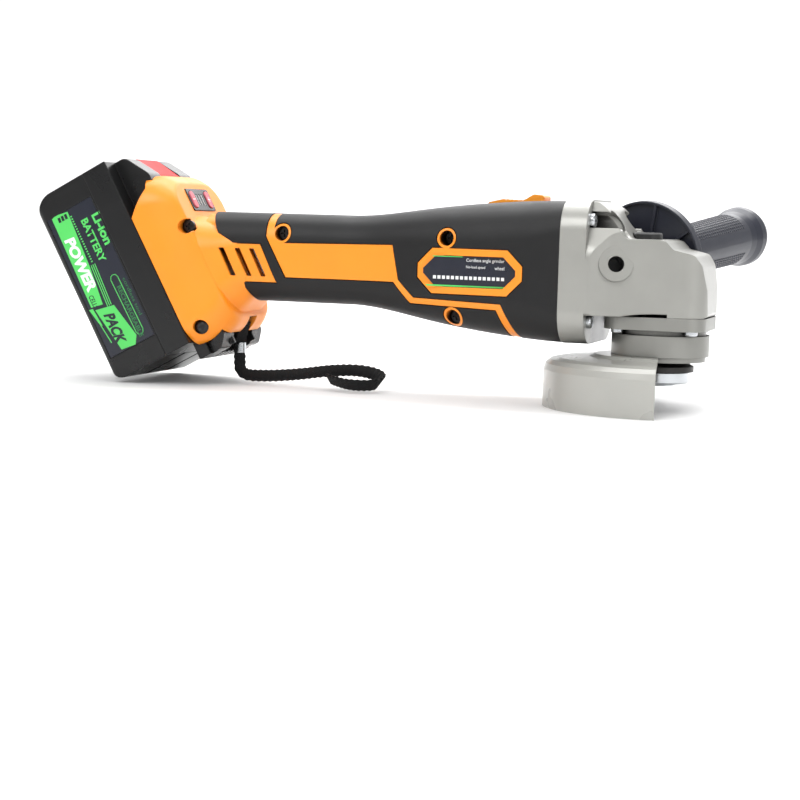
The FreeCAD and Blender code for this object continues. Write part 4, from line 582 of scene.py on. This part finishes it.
def handle_radius(along):
    """Outer radius of the grip at a distance along it, from (distance, radius) stations."""
    stations = ((16, 13.0), (60, 13.6), (104, 14.4))
    for (a, ra), (b, rb) in zip(stations, stations[1:]):
        if along <= b:
            return ra + (rb - ra) * (along - a) / (b - a)
    return stations[-1][1]


def tread_pad(shape, angle, along):
    """One small raised pad with sloping sides, sunk a little into the grip."""
    radius = handle_radius(along)
    corners = ((-PAD_HALF_TURN, -PAD_HALF_LENGTH), (PAD_HALF_TURN, -PAD_HALF_LENGTH),
               (PAD_HALF_TURN, PAD_HALF_LENGTH), (-PAD_HALF_TURN, PAD_HALF_LENGTH))
    low = [shape.verts.new(handle_point(angle + turn, radius - PAD_SINK, along + shift))
           for turn, shift in corners]
    high = [shape.verts.new(handle_point(angle + turn * PAD_TAPER, radius + PAD_RISE,
                                         along + shift * PAD_TAPER))
            for turn, shift in corners]
    shape.faces.new(high)
    for i in range(4):
        j = (i + 1) % 4
        shape.faces.new((low[i], low[j], high[j], high[i]))


def handle_tread():
    """Two panels of small raised pads on the grip, above and below."""
    shape = bmesh.new()
    for panel in (0, 1):
        middle = math.radians(-90 + 180 * panel)
        for row in range(TREAD_ROWS):
            for column in range(TREAD_COLUMNS):
                turn = TREAD_TURN * (column - TREAD_COLUMNS // 2)
                tread_pad(shape, middle + turn, TREAD_START + TREAD_PITCH * row)
    new_piece("handle_tread", finished_mesh("handle_tread", shape), "handle", "handle")


# --------------------------------------------------------------------------------------------
# screw in the foot's lower recess
# --------------------------------------------------------------------------------------------


# The screw's middle on the pack's axes, and its (radius, height) outline from the recess outwards.
SCREW_MIDDLE = (9.0, -32.6, 5.0)
SCREW_OUTLINE = ((0.9, 1.1), (1.1, 2.0), (2.6, 1.5), (3.5, 0.5), (3.8, 0.0))
SCREW_SIDES = 32


def recess_screw():
    """The dark screw, with a domed head and a round socket, in the foot's lower recess."""
    middle = pack_point(*SCREW_MIDDLE)
    shape = bmesh.new()
    rings = []
    for radius, rise in SCREW_OUTLINE:
        ring = []
        for step in range(SCREW_SIDES):
            turn = math.radians(360 * step / SCREW_SIDES)
            out = Vector((radius * math.cos(turn), -rise, radius * math.sin(turn)))
            ring.append(shape.verts.new(middle + out * MM))
        rings.append(ring)
    for inner, outer in zip(rings, rings[1:]):
        for step in range(SCREW_SIDES):
            after = (step + 1) % SCREW_SIDES
            face = shape.faces.new((inner[step], inner[after], outer[after], outer[step]))
            face.smooth = True
    shape.faces.new(rings[0])
    mesh = finished_mesh("foot_recess_screw", shape)
    new_piece("foot_recess_screw", mesh, "dark_steel", "tool")


# --------------------------------------------------------------------------------------------
# wrist strap
# --------------------------------------------------------------------------------------------

# The strap's route: (ahead of its bar, to the +Y side, above the standing surface), in millimetres.
STRAP_ROUTE = ((-0.6, 1.5, 34.3), (-3.2, 1.5, 25.0), (-3.4, 1.0, 14.0), (-2.4, 0.6, 4.6),
               (13.1, 1.6, 4.6), (31.6, 4.2, 6.4), (48.6, 3.6, 9.4), (64.6, 8.4, 10.2),
               (78.1, 5.5, 8.0), (81.6, -7.0, 4.2), (71.6, -12.6, 3.7), (60.6, -9.8, 4.0),
               (51.1, -3.2, 5.6))
STRAP_BAR_X = -229.6
STRAP_WIDTH = 7.0
STRAP_THICK = 1.5

# Each weave repeat widens and narrows the tape's edges a little.
STRAP_PICK = 3.2
PICK_SHARE = 0.07

# At the foot the tape's width lies along this direction. From TURN_START on, and over TURN_LENGTH, it
# turns until it leans, with its width partly level and partly upright. Lengths are in millimetres.
WIDE_AT_FOOT = Vector((0.5, 0.8, 0))
TURN_START = 14.0
TURN_LENGTH = 26.0
LEAN_LEVEL = 0.6
LEAN_UPRIGHT = 0.8

# The tape's cross-section, as shares of its half width and half thickness.
TAPE_SECTION = ((-1, -0.6), (-0.94, -1), (0.94, -1), (1, -0.6),
                (1, 0.6), (0.94, 1), (-0.94, 1), (-1, 0.6))


def smooth_line(points):
    """The line of a NURBS spline that has these points as its control points."""
    curve = bpy.data.curves.new("route", "CURVE")
    curve.dimensions = "3D"
    spline = curve.splines.new("NURBS")
    spline.points.add(len(points) - 1)
    for point, place in zip(spline.points, points):
        point.co = (*place, 1)
    spline.order_u = 3
    spline.use_endpoint_u = True
    spline.resolution_u = 24
    holder = bpy.data.objects.new("route", curve)
    bpy.context.scene.collection.objects.link(holder)
    bpy.context.view_layer.update()
    mesh = bpy.data.meshes.new_from_object(holder)
    line = [vertex.co.copy() for vertex in mesh.vertices]
    bpy.data.objects.remove(holder)
    bpy.data.meshes.remove(mesh)
    return line


def tape_ring(shape, point, ahead, gone):
    """The tape's cross-section at a point, looking ahead, gone millimetres from its start."""
    share = min(1.0, max(0.0, (gone - TURN_START) / TURN_LENGTH))
    level = Vector((-ahead.y, ahead.x, 0))
    leaning = level
    if level.length > 1e-6:
        leaning = level.normalized() * LEAN_LEVEL + Vector((0, 0, LEAN_UPRIGHT))
    turned = WIDE_AT_FOOT.lerp(leaning, share * share * (3 - 2 * share))
    wide = (turned - ahead * turned.dot(ahead)).normalized()
    out = ahead.cross(wide)
    half = STRAP_WIDTH / 2 * MM * (1 + PICK_SHARE * math.sin(2 * math.pi * gone / STRAP_PICK))
    thin = STRAP_THICK / 2 * MM
    return [shape.verts.new(point + wide * half * u + out * thin * v) for u, v in TAPE_SECTION]


def tape_mesh(line, travelled):
    """The tape along a line of points, with a map that runs along and across it for the weave."""
    shape = bmesh.new()
    uv = shape.loops.layers.uv.new("UVMap")
    rings = []
    last = len(line) - 1
    for i, point in enumerate(line):
        ahead = (line[min(i + 1, last)] - line[max(i - 1, 0)]).normalized()
        rings.append(tape_ring(shape, point, ahead, travelled[i] / MM))
    count = len(TAPE_SECTION)
    for i in range(last):
        for k in range(count):
            m = (k + 1) % count
            face = shape.faces.new((rings[i][k], rings[i][m], rings[i + 1][m], rings[i + 1][k]))
            face.smooth = True
            for loop, (along, across) in zip(face.loops, ((i, k), (i, m), (i + 1, m), (i + 1, k))):
                loop[uv].uv = (travelled[along] / MM * 0.1, TAPE_SECTION[across][0] * 0.5 + 0.5)
    shape.faces.new(list(reversed(rings[0])))
    shape.faces.new(rings[-1])
    return finished_mesh("strap_tape", shape)


def wrist_strap():
    """Flat woven tape that hangs from the foot and leans over where it runs on from there."""
    route = [Vector((STRAP_BAR_X + ahead, y, FLOOR / MM + rise)) * MM for ahead, y, rise in STRAP_ROUTE]
    line = smooth_line(route)
    travelled = [0.0]
    for a, b in zip(line, line[1:]):
        travelled.append(travelled[-1] + (b - a).length)
    strap = new_piece("strap_tape", tape_mesh(line, travelled), "webbing", "tool")
    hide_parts("wrist_strap")


# --------------------------------------------------------------------------------------------
# studio
# --------------------------------------------------------------------------------------------


# The floor runs back from its front edge, sweeps up at a bend, and ends in a wall, in metres.
FLOOR_FRONT = -3.0
BEND_START = 1.6
BEND_RADIUS = 1.2
BEND_STEPS = 12
WALL_TOP = 6.0
HALF_FLOOR = 6.0

# The points that the lights aim at, and the lights as (name, place, target, width, watts).
TOOL_MIDDLE = Vector((-0.14, 0, 0.03))
BACKDROP = Vector((-0.14, 2.6, 0.1))
LIGHTS = (
    ("key", (-0.55, -1.00, 0.95), TOOL_MIDDLE, 0.9, 8.0),
    ("top", (-0.10, 0.05, 1.25), TOOL_MIDDLE, 1.2, 7.5),
    ("fill", (0.95, -0.65, 0.45), TOOL_MIDDLE, 0.7, 3.5),
    ("rim", (-0.2, 0.95, 0.8), TOOL_MIDDLE, 0.9, 5.0),
    ("sweep", (-0.2, 0.9, 2.0), BACKDROP, 2.4, 75.0),
    ("floor", (-0.2, -2.4, 2.0), TOOL_MIDDLE, 2.0, 14.0))


def floor_mesh():
    """A floor that sweeps up behind the tool in one smooth bend."""
    profile = [(FLOOR_FRONT, 0.0), (BEND_START, 0.0)]
    for step in range(1, BEND_STEPS + 1):
        turn = math.radians(90 * step / BEND_STEPS)
        profile.append((BEND_START + BEND_RADIUS * math.sin(turn), BEND_RADIUS * (1 - math.cos(turn))))
    profile.append((BEND_START + BEND_RADIUS, WALL_TOP))
    shape = bmesh.new()
    left, right = [[shape.verts.new((across, y, FLOOR + z)) for y, z in profile]
                   for across in (-HALF_FLOOR, HALF_FLOOR)]
    for i in range(len(profile) - 1):
        face = shape.faces.new((left[i], right[i], right[i + 1], left[i + 1]))
        face.smooth = True
    mesh = bpy.data.meshes.new("studio_floor")
    shape.to_mesh(mesh)
    shape.free()
    return mesh


def floor_material():
    """Nearly white matt paper with a faint slow mottle."""
    material, nodes, links, base = shader("pale_floor")
    place = nodes.new("ShaderNodeTexCoord").outputs["Object"]
    mottle = noise(nodes, links, place, 3.0)
    tone = two_tone(nodes, links, mottle, (0.83, 0.83, 0.83), (0.86, 0.86, 0.86))
    links.new(tone, base.inputs["Base Color"])
    base.inputs["Roughness"].default_value = 0.7
    return material


def backlight():
    """A world that lights the tool dimly and is white where the camera sees it."""
    world = bpy.data.worlds.new("studio")
    bpy.context.scene.world = world
    world.use_nodes = True
    tree = world.node_tree
    glow = tree.nodes["Background"]
    glow.inputs["Color"].default_value = (1, 1, 1, 1)
    glow.inputs["Strength"].default_value = 0.42
    paper = tree.nodes.new("ShaderNodeBackground")
    paper.inputs["Color"].default_value = (1, 1, 1, 1)
    paper.inputs["Strength"].default_value = 1.0
    choice = tree.nodes.new("ShaderNodeMixShader")
    seen = tree.nodes.new("ShaderNodeLightPath").outputs["Is Camera Ray"]
    tree.links.new(seen, choice.inputs["Fac"])
    tree.links.new(glow.outputs["Background"], choice.inputs[1])
    tree.links.new(paper.outputs["Background"], choice.inputs[2])
    tree.links.new(choice.outputs["Shader"], tree.nodes["World Output"].inputs["Surface"])


def studio_light(name, place, target, width, watts):
    """A soft rectangular light that faces a target. width is in metres."""
    light = bpy.data.lights.new(name, "AREA")
    light.shape = "RECTANGLE"
    light.size = width
    light.size_y = width * 0.7
    light.energy = watts
    lamp = bpy.data.objects.new(name, light)
    lamp.location = place
    lamp.rotation_mode = "QUATERNION"
    lamp.rotation_quaternion = (target - Vector(place)).to_track_quat("-Z", "Y")
    bpy.context.scene.collection.objects.link(lamp)


def studio():
    """A pale floor that sweeps up behind the tool, and soft lights."""
    floor = bpy.data.objects.new("studio_floor", floor_mesh())
    bpy.context.scene.collection.objects.link(floor)
    floor.data.materials.append(floor_material())
    backlight()
    bpy.context.scene.view_settings.view_transform = "Standard"
    for light in LIGHTS:
        studio_light(*light)


# The camera's direction from the point it aims at, its roll, and how far it is tipped down from there.
CAMERA_AZIMUTH = math.radians(18.4)
CAMERA_ELEVATION = math.radians(2.4)
CAMERA_ROLL = math.radians(1.6)
CAMERA_DROP = math.radians(3.48)
CAMERA_DISTANCE = 0.9655
CAMERA_AIM = Vector((-0.1405, 0, AXIS_HEIGHT - 0.0146))
CAMERA_LENS = 81.4


def swung(first, second, angle):
    """Two square directions, turned in their own plane from first towards second."""
    cos, sin = math.cos(angle), math.sin(angle)
    return first * cos + second * sin, second * cos - first * sin


def camera():
    """Looks from the handle-free side, a little from the front and almost level."""
    flat = math.cos(CAMERA_ELEVATION)
    back = Vector((math.sin(CAMERA_AZIMUTH) * flat, -math.cos(CAMERA_AZIMUTH) * flat,
                   math.sin(CAMERA_ELEVATION)))
    right = Vector((math.cos(CAMERA_AZIMUTH), math.sin(CAMERA_AZIMUTH), 0))
    right, up = swung(right, back.cross(right), CAMERA_ROLL)
    place = CAMERA_AIM + back * CAMERA_DISTANCE
    back, up = swung(back, up, CAMERA_DROP)
    view = bpy.data.cameras.new("camera")
    view.sensor_width = 36
    view.lens = CAMERA_LENS
    view.clip_start = 0.01
    obj = bpy.data.objects.new("camera", view)
    turn = Matrix((right, up, back)).transposed().to_4x4()
    obj.matrix_world = Matrix.Translation(place) @ turn
    bpy.context.scene.collection.objects.link(obj)
    bpy.context.scene.camera = obj


paint_nodes()
battery_artwork()
rating_artwork()
panel_artwork()
handle_tread()
recess_screw()
wrist_strap()
studio()
camera()
